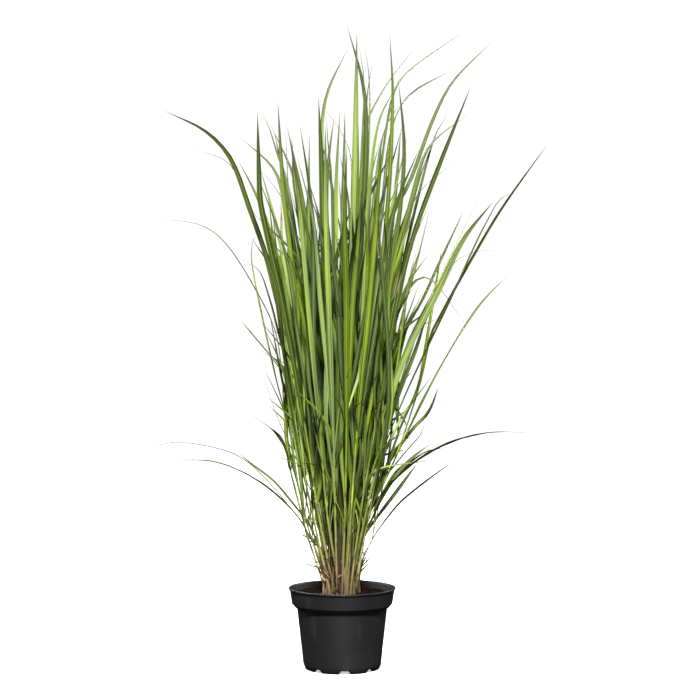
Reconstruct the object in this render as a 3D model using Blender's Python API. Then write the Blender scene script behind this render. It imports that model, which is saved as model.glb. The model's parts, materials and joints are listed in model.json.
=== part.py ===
"""Potted ornamental grass clump: a nursery pot, its potting mix and forty grass shoots.

Run with:  blender --background --python part.py
Metres, +Z up. The origin is on the pot's axis, level with the feet that it stands on.
"""

import math
from collections import namedtuple

import bmesh
import bpy
import numpy as np
from mathutils import Matrix, Vector

MM = 0.001
GAP = 0.0003                    # clearance kept between pieces that touch

# Round nursery pot
POT_HEIGHT = 0.144
RIM_RADIUS = 0.095
LIP_HEIGHT = 0.0030
LIP_STEP = 0.0012               # height over which the lip turns in to the band
BAND_RADIUS = 0.0933            # deep band below the rolled lip, at its top
BAND_FOOT_RADIUS = 0.0888       # the same band at its lower edge
BAND_FOOT_HEIGHT = 0.114
WALL_TOP_RADIUS = 0.0800        # tapered wall just under the band's ledge
WALL_TOP_HEIGHT = 0.107
WALL_FOOT_RADIUS = 0.0692
WALL_FOOT_HEIGHT = 0.010
BASE_RADIUS = 0.0650
WALL = 0.0013
FLOOR_CORNER = 0.0006           # how much the inside corner of the floor is drawn in
FLOOR_HEIGHT = 0.0070           # underside of the raised floor
FOOT_RING_WIDTH = 0.0065
NOTCHES = 8                     # the foot ring is cut into this many feet
NOTCH_START_DEG = -86.0
NOTCH_HEIGHT = 0.0066
NOTCH_WIDTH_LOW = 0.025
NOTCH_WIDTH_HIGH = 0.014
DRAIN_RADIUS = 0.0045
DRAIN_CIRCLE = 0.040
CENTRE_DRAIN_RADIUS = 0.0060
CUTTER_REACH = 0.004            # how far a cutter runs past what it cuts
TURN_STEPS = 36                 # facets round the pot and the mix

# Potting mix
MIX_HEIGHT = 0.1345             # surface level, a finger's width below the lip
PLANT_DEPTH = 0.012             # how far each culm goes into the mix
UPRIGHT_RISE = 0.003            # height over which it leaves the mix upright

# Crown of shoots
CROWN_RADIUS = 0.0305
GOLDEN_ANGLE = math.radians(137.508)
CULM_RADIUS_LOW = 0.0023
CULM_RADIUS_HIGH = 0.0017
CULM_SIDES = 6
CROWN_LEAN = 0.24               # how far out a shoot stands for its lean to the side
CROWN_DEPTH = 0.26              # and for its tip's depth
LEAN_POWER = 1.1                # above 1, a strand leans more towards its tip
BLADE_THICKNESS = 0.0012
TIP_WIDTH = 0.0009
THIN_SHARE = 0.6                # a blade is never thicker than this share of its half width
COLLAR_SHARE = 0.45             # width at the collar, as a share of the full width
SWELL_END = 0.18                # share of a blade's length at which it is full width
TAPER_START = 0.45              # share at which it begins to narrow
TAPER_POWER = 1.25
LEADER_STEPS = 8                # stretches along a leader's blade
SIDE_STEPS = 6
SAMPLES = 120                   # points looked at when a blade's sections are placed
LEAST_BEND = 0.3                # radians of bend below which sections stay evenly spaced
SPAN = 0.004                    # half the stretch over which a curve's direction is taken
COLLAR_DROP = 0.012             # a side leaf starts this far below the top of its culm
COLLAR_STEP = 0.020             # and each further one this much lower
COLLAR_LEAD = 0.024             # or this far below the first point of its own route
COLLAR_HALF = 0.0035            # half the height of a side leaf's attachment
FIRST_RING = 0.022              # distance from there to a side leaf's first free section
TWIST_LIMIT = math.radians(32)  # most that a blade twists from one section to the next
BOW = 0.0042                    # how far a side leaf stands off its culm before it goes its own way
BOW_LENGTH = 0.130
BOW_HOLD = 0.45                 # share of that length over which it keeps its distance
BEARING_REACH = 0.090           # how far up a side leaf its bearing from the culm is taken

# A standing viewer's eye: leaf routes are drawn in elevation on the plane through the pot's
# axis, and each point then moves along its line of sight to its own depth.
EYE_X = 0.0103
EYE_Z = 0.600
EYE_DISTANCE = 3.2

# How the leaves make room for each other
LAYER = 0.008                   # height between the levels at which leaves are compared
TOP_LEVEL = 1.16
SKIPPED = 0.010                 # stretch above a strand's foot that is left out
WIDTH_SHARE = 0.85              # share of a blade's width that keeps its neighbours away
EASE = 0.35                     # share of an overlap that one round takes out
SETTLE_ROUNDS = 400
SMOOTH_LAYERS = 7
ROOM = 0.0022                   # air kept between two leaves
RISE_HEIGHT = 0.030             # a strand is free to move this far above its foot
STEP_LIMIT = 0.002              # most that a strand moves in one round

Leaf = namedtuple("Leaf", "width depth turn route")
Shoot = namedtuple("Shoot", "culm leader sides")


def leaf(width, depth, turn, *route):
    """A blade: width and tip depth in millimetres, turn in degrees, route as (x, z) in millimetres."""
    points = [(x * MM, z * MM) for x, z in route]
    return Leaf(width * MM, depth * MM, math.radians(turn), points)


def shoot(culm, leader, *sides):
    """A shoot: height of its top collar in millimetres, its leading blade and its side leaves."""
    return Shoot(culm * MM, leader, sides)


SHOOTS = (
    # low, arching out to the left
    shoot(222,
          leaf(6, -40, 10, (-47, 212), (-78, 268), (-107, 304), (-154, 355), (-192, 381),
               (-244, 395), (-297, 401), (-356, 387)),
          leaf(6, -95, 25, (-64, 245), (-92, 284), (-149, 331), (-202, 359), (-249, 369), (-309, 369))),
    shoot(236,
          leaf(5, 40, 50, (-52, 222), (-66, 262), (-94, 300), (-122, 332), (-160, 362), (-186, 384)),
          leaf(4, 100, 20, (-50, 226), (-76, 238), (-100, 254))),
    shoot(352,
          leaf(5, 60, 15, (-52, 190), (-64, 245), (-81, 310), (-95, 365), (-101, 430), (-108, 520),
               (-117, 592), (-140, 642), (-168, 697), (-195, 738), (-220, 767), (-250, 785),
               (-290, 794), (-322, 796)),
          leaf(4, -60, 30, (-99, 386), (-109, 408), (-130, 428), (-159, 448))),
    shoot(345,
          leaf(4, 150, 20, (-44, 215), (-66, 310), (-86, 400), (-111, 488), (-130, 569), (-145, 640),
               (-157, 697), (-161, 740), (-154, 773)),
          leaf(4, 110, 20, (-72, 390), (-88, 470), (-102, 531), (-135, 564), (-180, 617))),
    # tall left flank
    shoot(330,
          leaf(10, -120, 60, (-50, 260), (-70, 360), (-88, 470), (-104, 570), (-118, 675), (-134, 725),
               (-152, 780), (-165, 820), (-178, 860), (-195, 900), (-220, 933), (-260, 964),
               (-315, 988)),
          leaf(6, -60, 40, (-72, 400), (-96, 560), (-126, 690), (-150, 780), (-168, 830), (-184, 870),
               (-200, 895), (-240, 914), (-265, 920))),
    shoot(310,
          leaf(8, 90, 50, (-44, 260), (-62, 370), (-84, 500), (-108, 650), (-130, 780), (-147, 825),
               (-160, 855), (-184, 900)),
          leaf(5, 190, 30, (-54, 390), (-72, 560), (-92, 740), (-104, 830), (-118, 880), (-140, 905),
               (-160, 922), (-187, 946))),
    shoot(300,
          leaf(11, -200, 75, (-40, 260), (-58, 380), (-82, 520), (-106, 650), (-124, 730), (-137, 790),
               (-145, 830), (-147, 880), (-148, 930), (-150, 985)),
          leaf(8, 10, 55, (-58, 400), (-78, 560), (-96, 690), (-114, 770), (-130, 820), (-146, 890))),
    shoot(340,
          leaf(9, -60, 70, (-36, 260), (-50, 400), (-66, 540), (-80, 650), (-91, 730), (-99, 800),
               (-105, 860), (-110, 930), (-114, 1005)),
          leaf(4, 60, 30, (-48, 410), (-64, 580), (-84, 750), (-102, 832), (-120, 857), (-147, 890))),
    shoot(300,
          leaf(7, 160, 60, (-32, 260), (-46, 420), (-64, 600), (-84, 780), (-101, 872), (-116, 915),
               (-130, 960), (-142, 985)),
          leaf(6, 215, 40, (-38, 390), (-52, 600), (-68, 770), (-80, 855), (-92, 885), (-110, 928),
               (-128, 965))),
    shoot(290,
          leaf(6, 95, 20, (-28, 250), (-40, 420), (-58, 640), (-78, 800), (-87, 870), (-88, 942)),
          leaf(7, -150, 70, (-40, 380), (-48, 600), (-62, 770), (-68, 860), (-63, 920), (-58, 950))),
    shoot(315,
          leaf(9, -20, 65, (-24, 250), (-34, 400), (-46, 600), (-60, 760), (-72, 845), (-86, 910),
               (-98, 962)),
          leaf(4, -110, 20, (-25, 400), (-34, 560), (-44, 700), (-50, 760), (-50, 812))),
    # centre, nearly upright
    shoot(330,
          leaf(12, -160, 85, (-20, 250), (-25, 420), (-30, 640), (-35, 820), (-37, 920), (-42, 1012)),
          leaf(5, 90, 15, (-30, 400), (-30, 640), (-32, 850), (-34, 950), (-29, 1015), (-18, 1048),
               (12, 1102))),
    shoot(300,
          leaf(9, -110, 80, (-9, 250), (-9, 450), (-11, 700), (-10, 880), (-4, 988)),
          leaf(9, 40, 70, (-4, 390), (-2, 600), (0, 800), (1, 920), (5, 990))),
    shoot(345,
          leaf(10, -60, 75, (2, 250), (8, 480), (16, 720), (22, 870), (24, 1010), (26, 1125)),
          leaf(5, -20, 20, (5, 410), (9, 600), (12, 780), (12, 860), (5, 896), (-5, 915))),
    shoot(320,
          leaf(9, -20, 60, (7, 250), (17, 480), (31, 720), (40, 880), (42, 990), (34, 1048), (9, 1138)),
          leaf(7, 40, 50, (12, 400), (20, 620), (27, 840), (30, 960), (26, 1040))),
    shoot(290,
          leaf(6, 95, 30, (10, 250), (20, 480), (32, 760), (41, 960), (46, 1030), (53, 1072)),
          leaf(4, 60, 10, (9, 380), (10, 600), (17, 800), (17, 896), (4, 940), (-20, 977),
               (-39, 1003))),
    shoot(335,
          leaf(6, 10, 30, (14, 250), (25, 480), (40, 760), (49, 950), (48, 1045), (40, 1103)),
          leaf(7, -90, 60, (20, 400), (32, 600), (44, 790), (53, 905), (66, 972), (95, 1030))),
    shoot(300,
          leaf(6, 120, 25, (18, 250), (28, 480), (39, 760), (46, 970), (62, 1004), (90, 1050),
               (132, 1103)),
          leaf(7, 190, 50, (24, 390), (38, 600), (52, 780), (62, 880), (76, 955), (102, 1000))),
    # tall right flank
    shoot(330,
          leaf(8, -100, 60, (24, 250), (44, 450), (66, 680), (82, 840), (88, 960), (89, 1050),
               (84, 1125)),
          leaf(6, -230, 55, (26, 400), (36, 600), (44, 780), (50, 872), (67, 935))),
    shoot(300,
          leaf(9, 10, 60, (28, 260), (56, 480), (84, 680), (104, 820), (110, 930), (100, 1038)),
          leaf(3, 80, 10, (32, 400), (42, 620), (46, 790), (54, 868), (80, 884), (122, 896))),
    shoot(320,
          leaf(9, -150, 65, (35, 290), (68, 480), (103, 680), (130, 780), (156, 850), (190, 940),
               (228, 1032)),
          leaf(5, 80, 35, (48, 400), (80, 590), (112, 760), (135, 842), (162, 872), (195, 895))),
    shoot(310,
          leaf(8, 130, 60, (29, 290), (50, 500), (72, 700), (88, 800), (120, 862), (146, 930),
               (178, 1012), (215, 1062), (265, 1110)),
          leaf(9, 70, 65, (42, 390), (74, 600), (104, 745), (122, 825), (142, 905), (176, 951),
               (225, 983))),
    shoot(340,
          leaf(6, 190, 30, (18, 260), (40, 520), (59, 780), (78, 950), (98, 1034), (140, 1076),
               (219, 1130)),
          leaf(3, 235, 20, (30, 410), (52, 640), (74, 840), (94, 975), (126, 1022), (187, 1056))),
    shoot(300,
          leaf(9, -50, 35, (48, 275), (76, 335), (99, 385), (113, 428), (125, 462), (137, 505),
               (146, 550), (156, 592), (172, 625), (192, 658), (230, 730), (260, 782), (300, 842),
               (340, 897), (366, 932)),
          leaf(6, 60, 15, (84, 350), (112, 408), (155, 498), (200, 577), (250, 652), (292, 695))),
    shoot(310,
          leaf(12, -130, 75, (42, 275), (64, 370), (84, 460), (100, 530), (122, 578), (160, 650),
               (190, 715), (226, 778), (268, 828)),
          leaf(4, -75, 20, (62, 370), (88, 490), (132, 620), (172, 692), (208, 756), (243, 836))),
    shoot(295,
          leaf(8, 90, 30, (38, 270), (58, 380), (82, 490), (112, 595), (144, 655), (178, 730),
               (216, 812)),
          leaf(3, 160, 15, (50, 370), (76, 490), (104, 582), (128, 638), (145, 672))),
    shoot(300,
          leaf(7, 20, 45, (42, 262), (74, 350), (108, 436), (136, 502), (146, 556), (156, 615),
               (168, 690), (176, 742)),
          leaf(4, -85, 15, (66, 365), (86, 440), (107, 504), (138, 586), (155, 642))),
    # low, arching out to the right
    shoot(240,
          leaf(8, -75, 40, (38, 225), (55, 288), (80, 322), (104, 347), (142, 377), (182, 398),
               (222, 413), (262, 419), (300, 421), (337, 418)),
          leaf(7, 20, 40, (54, 270), (76, 312), (104, 352), (132, 380), (163, 402))),
    shoot(200,
          leaf(6, -20, 45, (34, 185), (46, 215), (62, 244), (82, 271), (102, 295), (150, 334),
               (197, 367)),
          leaf(6, 95, 40, (39, 226), (60, 262), (100, 318), (134, 365))),
    shoot(262,
          leaf(4, 130, 20, (36, 225), (60, 305), (80, 342), (120, 392), (138, 413), (148, 437)),
          leaf(5, 70, 30, (56, 308), (78, 358), (125, 425), (152, 454), (171, 499))),
    shoot(330,
          leaf(6, -20, 35, (34, 275), (62, 420), (90, 555), (112, 650), (128, 704), (141, 756),
               (155, 815)),
          leaf(3, 115, 10, (54, 400), (78, 540), (100, 622), (117, 672), (138, 694), (162, 686),
               (190, 655), (217, 613))),
    shoot(320,
          leaf(4, 165, 20, (36, 275), (72, 410), (112, 520), (150, 618), (182, 692), (206, 725),
               (245, 740), (275, 741)),
          leaf(3, 210, 15, (50, 390), (78, 550), (112, 672), (134, 710), (158, 740))),
    # leaning towards and away from the viewer
    shoot(300,
          leaf(10, -280, 85, (-12, 250), (-17, 450), (-24, 650), (-29, 830), (-30, 962)),
          leaf(9, -190, 80, (-10, 380), (-6, 560), (-2, 720), (4, 830))),
    shoot(310,
          leaf(10, -302, 85, (4, 250), (8, 450), (7, 650), (5, 810), (8, 925)),
          leaf(9, -215, 80, (8, 390), (14, 560), (24, 720), (34, 845))),
    shoot(290,
          leaf(10, -262, 80, (14, 250), (28, 450), (48, 650), (62, 820), (70, 940)),
          leaf(8, -150, 75, (22, 370), (40, 540), (62, 690), (78, 790))),
    shoot(285,
          leaf(9, -240, 80, (-24, 250), (-42, 450), (-62, 660), (-76, 830), (-92, 932)),
          leaf(8, -150, 70, (-32, 370), (-50, 520), (-74, 650), (-94, 738))),
    shoot(310,
          leaf(9, 285, 80, (-10, 250), (-19, 480), (-28, 720), (-26, 880), (-14, 978)),
          leaf(8, 200, 75, (-14, 390), (-26, 580), (-44, 740), (-56, 850))),
    shoot(300,
          leaf(9, 302, 80, (12, 250), (18, 480), (26, 720), (36, 890), (44, 992)),
          leaf(8, 230, 75, (14, 390), (10, 600), (4, 760), (-6, 870))),
    shoot(295,
          leaf(9, 258, 75, (26, 250), (50, 460), (76, 680), (94, 840), (104, 955)),
          leaf(8, 170, 70, (36, 380), (60, 560), (88, 700), (112, 800))),
    shoot(290,
          leaf(9, 240, 75, (-24, 250), (-48, 460), (-76, 680), (-100, 850), (-120, 950)),
          leaf(8, 140, 70, (-38, 380), (-62, 560), (-90, 690), (-112, 770))),
)


def clear_scene():
    """Start from an empty scene."""
    for obj in list(bpy.data.objects):
        bpy.data.objects.remove(obj, do_unlink=True)


def material(name, colour, roughness):
    """One non-metal finish."""
    mat = bpy.data.materials.new(name)
    mat.use_nodes = True
    shader = mat.node_tree.nodes["Principled BSDF"]
    shader.inputs["Base Color"].default_value = (*colour, 1.0)
    shader.inputs["Roughness"].default_value = roughness
    shader.inputs["Metallic"].default_value = 0.0
    mat.diffuse_color = (*colour, 1.0)
    return mat


def add_object(name, bm, mat, sharp_angle=None):
    """Turn a bmesh into a named object with one finish."""
    bmesh.ops.recalc_face_normals(bm, faces=bm.faces[:])
    mesh = bpy.data.meshes.new(name)
    bm.to_mesh(mesh)
    bm.free()
    obj = bpy.data.objects.new(name, mesh)
    bpy.context.scene.collection.objects.link(obj)
    mesh.materials.append(mat)
    if sharp_angle is not None:
        mesh.shade_smooth()
        mesh.set_sharp_from_angle(angle=math.radians(sharp_angle))
    return obj


def add_cutter(name, bm):
    """A hidden solid that a Boolean takes away."""
    bmesh.ops.recalc_face_normals(bm, faces=bm.faces[:])
    mesh = bpy.data.meshes.new(name)
    bm.to_mesh(mesh)
    bm.free()
    obj = bpy.data.objects.new(name, mesh)
    bpy.context.scene.collection.objects.link(obj)
    obj.hide_render = True
    obj.display_type = "WIRE"
    return obj


def cut(obj, cutter):
    """Take the cutter out of the object with an exact Boolean."""
    mod = obj.modifiers.new(cutter.name, "BOOLEAN")
    mod.operation = "DIFFERENCE"
    mod.solver = "EXACT"
    mod.object = cutter


def turned(profile, closed):
    """Turn an (r, z) outline about +Z; an open outline gets a flat face at each end."""
    bm = bmesh.new()
    verts = [bm.verts.new((r, 0.0, z)) for r, z in profile]
    edges = [bm.edges.new(pair) for pair in zip(verts, verts[1:])]
    if closed:
        edges.append(bm.edges.new((verts[-1], verts[0])))
    bmesh.ops.spin(bm, geom=verts + edges, cent=(0, 0, 0), axis=(0, 0, 1), angle=2 * math.pi,
                   steps=TURN_STEPS, use_merge=True)
    if not closed:
        bmesh.ops.holes_fill(bm, edges=[edge for edge in bm.edges if edge.is_boundary], sides=0)
    return bm


# ------------------------------------------------------------------------------------- pot

def pot_outline():
    """Closed wall section of the pot: down the outside, across the foot, up the inside."""
    inner_floor = FLOOR_HEIGHT + WALL
    foot_inner = BASE_RADIUS - FOOT_RING_WIDTH
    return [
        (RIM_RADIUS, POT_HEIGHT),
        (RIM_RADIUS, POT_HEIGHT - LIP_HEIGHT),
        (BAND_RADIUS, POT_HEIGHT - LIP_HEIGHT - LIP_STEP),
        (BAND_FOOT_RADIUS, BAND_FOOT_HEIGHT),
        (WALL_TOP_RADIUS, WALL_TOP_HEIGHT),
        (WALL_FOOT_RADIUS, WALL_FOOT_HEIGHT),
        (BASE_RADIUS, 0.0),
        (foot_inner, 0.0),
        (foot_inner, FLOOR_HEIGHT),
        (CENTRE_DRAIN_RADIUS, FLOOR_HEIGHT),
        (CENTRE_DRAIN_RADIUS, inner_floor),
        (WALL_FOOT_RADIUS - WALL - FLOOR_CORNER, inner_floor),
        (WALL_TOP_RADIUS - WALL, WALL_TOP_HEIGHT + WALL),
        (BAND_FOOT_RADIUS - WALL, BAND_FOOT_HEIGHT + WALL),
        (BAND_RADIUS - WALL, POT_HEIGHT),
    ]


def notch_cutters():
    """Trapezoid blocks that split the foot ring, joined in one cutter."""
    bm = bmesh.new()
    inner = BASE_RADIUS - FOOT_RING_WIDTH - CUTTER_REACH
    outer = WALL_FOOT_RADIUS + CUTTER_REACH
    for index in range(NOTCHES):
        turn = Matrix.Rotation(math.radians(NOTCH_START_DEG) + index * 2 * math.pi / NOTCHES, 3, "Z")
        ends = []
        for radius in (inner, outer):
            ends.append([bm.verts.new(turn @ Vector((radius, y, z))) for y, z in (
                (-NOTCH_WIDTH_LOW / 2, -CUTTER_REACH / 2), (NOTCH_WIDTH_LOW / 2, -CUTTER_REACH / 2),
                (NOTCH_WIDTH_HIGH / 2, NOTCH_HEIGHT), (-NOTCH_WIDTH_HIGH / 2, NOTCH_HEIGHT))])
        close_ends(bm, ends)
    return add_cutter("cutter_notches", bm)


def drain_cutters():
    """Round drain holes in the raised floor, between the notches."""
    bm = bmesh.new()
    for index in range(NOTCHES // 2):
        angle = math.radians(NOTCH_START_DEG) + (2 * index + 0.5) * 2 * math.pi / NOTCHES
        place = Matrix.Translation((DRAIN_CIRCLE * math.cos(angle), DRAIN_CIRCLE * math.sin(angle),
                                    FLOOR_HEIGHT))
        bmesh.ops.create_cone(bm, cap_ends=True, segments=8, radius1=DRAIN_RADIUS,
                              radius2=DRAIN_RADIUS, depth=4 * WALL, matrix=place)
    return add_cutter("cutter_drains", bm)


def build_pot():
    """Thin black moulded pot on eight feet."""
    plastic = material("pot_plastic", (0.016, 0.016, 0.017), 0.42)
    pot = add_object("pot", turned(pot_outline(), closed=True), plastic, sharp_angle=28)
    cut(pot, notch_cutters())
    cut(pot, drain_cutters())
    return pot


# ------------------------------------------------------------------------------ leaf routes

def in_elevation(x, y, z):
    """Where the eye sees a point, on the plane through the axis."""
    scale = (EYE_DISTANCE + y) / EYE_DISTANCE
    return (EYE_X + (x - EYE_X) / scale, EYE_Z + (z - EYE_Z) / scale)


def smooth_route(points, per_span=12):
    """Centripetal Catmull-Rom curve through points of any dimension, as a dense array."""
    pts = [np.array(p, float) for p in points]
    pts = [2 * pts[0] - pts[1]] + pts + [2 * pts[-1] - pts[-2]]
    out = []
    for p0, p1, p2, p3 in zip(pts, pts[1:], pts[2:], pts[3:]):
        t0 = 0.0
        t1 = t0 + max(np.linalg.norm(p1 - p0), 1e-6) ** 0.5
        t2 = t1 + max(np.linalg.norm(p2 - p1), 1e-6) ** 0.5
        t3 = t2 + max(np.linalg.norm(p3 - p2), 1e-6) ** 0.5
        for t in np.linspace(t1, t2, per_span, endpoint=False):
            a1 = (t1 - t) / (t1 - t0) * p0 + (t - t0) / (t1 - t0) * p1
            a2 = (t2 - t) / (t2 - t1) * p1 + (t - t1) / (t2 - t1) * p2
            a3 = (t3 - t) / (t3 - t2) * p2 + (t - t2) / (t3 - t2) * p3
            b1 = (t2 - t) / (t2 - t0) * a1 + (t - t0) / (t2 - t0) * a2
            b2 = (t3 - t) / (t3 - t1) * a2 + (t - t1) / (t3 - t1) * a3
            out.append((t2 - t) / (t2 - t1) * b1 + (t - t1) / (t2 - t1) * b2)
    out.append(pts[-2])
    return np.array(out)


def lengths(curve):
    """Distance along a dense curve at each of its points."""
    steps = np.linalg.norm(np.diff(curve, axis=0), axis=1)
    return np.concatenate(([0.0], np.cumsum(steps)))


def point_on(curve, distance):
    """Point at a distance along a curve."""
    along = lengths(curve)
    return np.array([np.interp(distance, along, curve[:, axis]) for axis in range(3)])


def distance_up(curve, height):
    """Distance along a curve at which its rising part reaches a height."""
    apex = int(np.argmax(curve[:, 2])) + 1
    return float(np.interp(height, curve[:apex, 2], lengths(curve)[:apex]))


def crown_places():
    """Where the shoots stand: an even spiral, each shoot taking the free place nearest its lean."""
    count = len(SHOOTS)
    spots = []
    for index in range(count):
        radius = CROWN_RADIUS * math.sqrt((index + 0.5) / count)
        angle = index * GOLDEN_ANGLE
        spots.append((radius * math.cos(angle), radius * math.sin(angle)))
    wishes = []
    for shoot_index, one in enumerate(SHOOTS):
        x, z = one.leader.route[1]
        lean_x = (x - EYE_X) * CROWN_LEAN / (z - MIX_HEIGHT)
        lean_y = one.leader.depth * CROWN_DEPTH
        reach = math.hypot(lean_x, lean_y)
        hold = min(1.0, CROWN_RADIUS / max(reach, 1e-6))
        wishes.append((reach, shoot_index, lean_x * hold, lean_y * hold))
    places = {}
    for _, shoot_index, x, y in sorted(wishes, reverse=True):
        nearest = min(spots, key=lambda spot: (spot[0] - x) ** 2 + (spot[1] - y) ** 2)
        spots.remove(nearest)
        places[shoot_index] = nearest
    return [places[index] for index in range(count)]


class Strand:
    """One blade with the stem below it: its elevation, its depth and how far it has settled."""

    def __init__(self, blade, start, foot_depth, parent=None):
        self.blade = blade
        self.parent = parent
        self.foot_depth = foot_depth
        self.flat = smooth_route(start + list(blade.route))
        self.along = lengths(self.flat)
        self.heights = np.zeros(0)
        self.shift = np.zeros(0)
        self.stand_off = self.off_culm() if parent else np.zeros((len(self.flat), 2))

    def depth(self):
        """Depth along the strand: even growth from foot to tip, and what settling has added."""
        planted = 0.0 if self.parent else PLANT_DEPTH + UPRIGHT_RISE
        share = np.clip((self.along - planted) / (self.along[-1] - planted), 0.0, 1.0)
        depth = self.foot_depth + (self.blade.depth - self.foot_depth) * share ** LEAN_POWER
        if len(self.heights):
            depth = depth + np.interp(self.flat[:, 1], self.heights, self.shift, left=0.0)
        return depth

    def curve(self):
        """The settled route in space."""
        depth = self.depth() + self.stand_off[:, 1]
        scale = (EYE_DISTANCE + depth) / EYE_DISTANCE
        x = EYE_X + (self.flat[:, 0] + self.stand_off[:, 0] - EYE_X) * scale
        z = EYE_Z + (self.flat[:, 1] - EYE_Z) * scale
        return np.stack((x, depth, z), axis=1)

    def off_culm(self):
        """Offsets that bow a side leaf out from its culm, towards where it is going."""
        self.stand_off = np.zeros((len(self.flat), 2))
        culm = self.parent.curve()
        at = distance_up(culm, self.flat[0, 1])
        self.foot_depth = float(point_on(culm, at)[1])
        away = (point_on(self.curve(), BEARING_REACH) - point_on(culm, at + BEARING_REACH))[:2]
        away /= np.linalg.norm(away)
        out = np.interp(self.along, (0.0, FIRST_RING, BOW_HOLD * BOW_LENGTH, BOW_LENGTH),
                        (CULM_RADIUS_HIGH, CULM_RADIUS_HIGH + BOW, CULM_RADIUS_HIGH + BOW, 0.0))
        return np.outer(out, away)


def make_strands():
    """A strand for every leader and side leaf, side leaves starting on their shoot's culm."""
    strands = []
    for one, (root_x, root_y) in zip(SHOOTS, crown_places()):
        start = [in_elevation(root_x, root_y, MIX_HEIGHT + rise)
                 for rise in (-PLANT_DEPTH, 0.0, UPRIGHT_RISE)]
        leader = Strand(one.leader, start, root_y)
        strands.append(leader)
        for order, side in enumerate(one.sides):
            collar = collar_height(one, order)
            rising = leader.flat[:int(np.argmax(leader.flat[:, 1])) + 1]
            x = float(np.interp(collar, rising[:, 1], rising[:, 0]))
            strands.append(Strand(side, [(x, collar)], 0.0, parent=leader))
    return strands


def collar_height(one, order):
    """Height at which a side leaf leaves the culm."""
    first = one.sides[order].route[0][1]
    return min(one.culm - COLLAR_DROP - COLLAR_STEP * order, first - COLLAR_LEAD)


def settle(strands):
    """Slide the leaves apart in depth, level by level, until each has room."""
    levels = np.arange(MIX_HEIGHT + UPRIGHT_RISE, TOP_LEVEL, LAYER)
    count = len(strands)
    starts = np.array([strand.flat[0, 1] + (0.0 if strand.parent else PLANT_DEPTH + UPRIGHT_RISE)
                       for strand in strands])
    rise = np.clip((levels[None, :] - starts[:, None] - LAYER) / RISE_HEIGHT, 0.0, 1.0)
    for strand in strands:
        strand.heights = levels
        strand.shift = np.zeros(len(levels))
    radius = np.array([0.5 * strand.blade.width * WIDTH_SHARE for strand in strands])
    room = (radius[:, None] + radius[None, :] + ROOM)[:, :, None]
    tie = np.sign(np.arange(count)[:, None] - np.arange(count)[None, :])[:, :, None]
    kernel = np.hanning(SMOOTH_LAYERS + 2)[1:-1]
    kernel /= kernel.sum()
    for _ in range(SETTLE_ROUNDS):
        x = np.full((count, len(levels)), np.nan)
        y = np.full((count, len(levels)), np.nan)
        curves = {}
        for index, strand in enumerate(strands):
            if strand.parent:
                culm = curves[strand.parent]
                strand.foot_depth = float(point_on(culm, distance_up(culm, starts[index]))[1])
            curve = curves[strand] = strand.curve()
            rising = curve[:int(np.argmax(curve[:, 2])) + 1]
            inside = (levels > starts[index] + SKIPPED) & (levels < rising[-1, 2])
            x[index, inside] = np.interp(levels[inside], rising[:, 2], rising[:, 0])
            y[index, inside] = np.interp(levels[inside], rising[:, 2], rising[:, 1])
        dx = x[:, None, :] - x[None, :, :]
        dy = np.nan_to_num(y[:, None, :] - y[None, :, :])
        near = np.nan_to_num(np.abs(dx), nan=1.0) < room
        wanted = np.sqrt(np.where(near, room ** 2 - dx ** 2, 0.0))
        short = np.where(near, np.maximum(wanted - np.abs(dy), 0.0), 0.0)
        short[np.arange(count), np.arange(count), :] = 0.0
        push = (short * np.sign(dy + 1e-9 * tie)).sum(axis=1) * EASE
        for index, strand in enumerate(strands):
            spread = np.pad(push[index], SMOOTH_LAYERS // 2, mode="edge")
            moved = np.convolve(spread, kernel, "valid")
            strand.shift = strand.shift + np.clip(moved, -STEP_LIMIT, STEP_LIMIT) * rise[index]


# --------------------------------------------------------------------------------- shoots

def stations(curve, start, end, steps):
    """Distances along a curve, closer together where it bends."""
    along = lengths(curve)
    pick = np.linspace(start, end, SAMPLES)
    points = np.array([np.interp(pick, along, curve[:, axis]) for axis in range(3)]).T
    ways = np.diff(points, axis=0)
    ways /= np.linalg.norm(ways, axis=1)[:, None]
    turns = np.arccos(np.clip((ways[1:] * ways[:-1]).sum(axis=1), -1, 1))
    bend = np.concatenate(([0.0], np.cumsum(turns)))
    measure = (pick[1:] - start) / (end - start) + bend / max(bend[-1], LEAST_BEND)
    measure = np.concatenate(([0.0], measure))
    return [float(np.interp(measure[-1] * step / steps, measure, pick)) for step in range(1, steps + 1)]


def place_at(curve, distance):
    """Point and direction at a distance along a curve."""
    way = Vector(point_on(curve, distance + SPAN) - point_on(curve, distance - SPAN))
    return Vector(point_on(curve, distance)), way.normalized()


def blade_axes(way, lean, turn, last=None):
    """Directions across a blade's width and through its thickness, following on from the last pair."""
    level = lean.cross(Vector((0, 0, 1)))
    across = (level - way * level.dot(way)).normalized()
    facing = (Vector((1, 0, 0)) - way * way.x).normalized()
    if across.dot(facing) < 0:
        facing.negate()
    share = min(1.0, turn / math.radians(90))
    across = (across * (1 - share) + facing * share).normalized()
    if last is not None:
        across = twisted(way, last[0], across)
    through = way.cross(across).normalized()
    if last is not None and through.dot(last[1]) < 0:
        through.negate()
    return across, through


def twisted(way, before, wanted):
    """The direction before, carried on and twisted about the way towards the wanted one, up to a limit."""
    carried = (before - way * way.dot(before)).normalized()
    square = way.cross(carried)
    if wanted.dot(carried) < 0:
        wanted = -wanted
    angle = math.atan2(wanted.dot(square), wanted.dot(carried))
    angle = max(-TWIST_LIMIT, min(TWIST_LIMIT, angle))
    return carried * math.cos(angle) + square * math.sin(angle)


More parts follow.
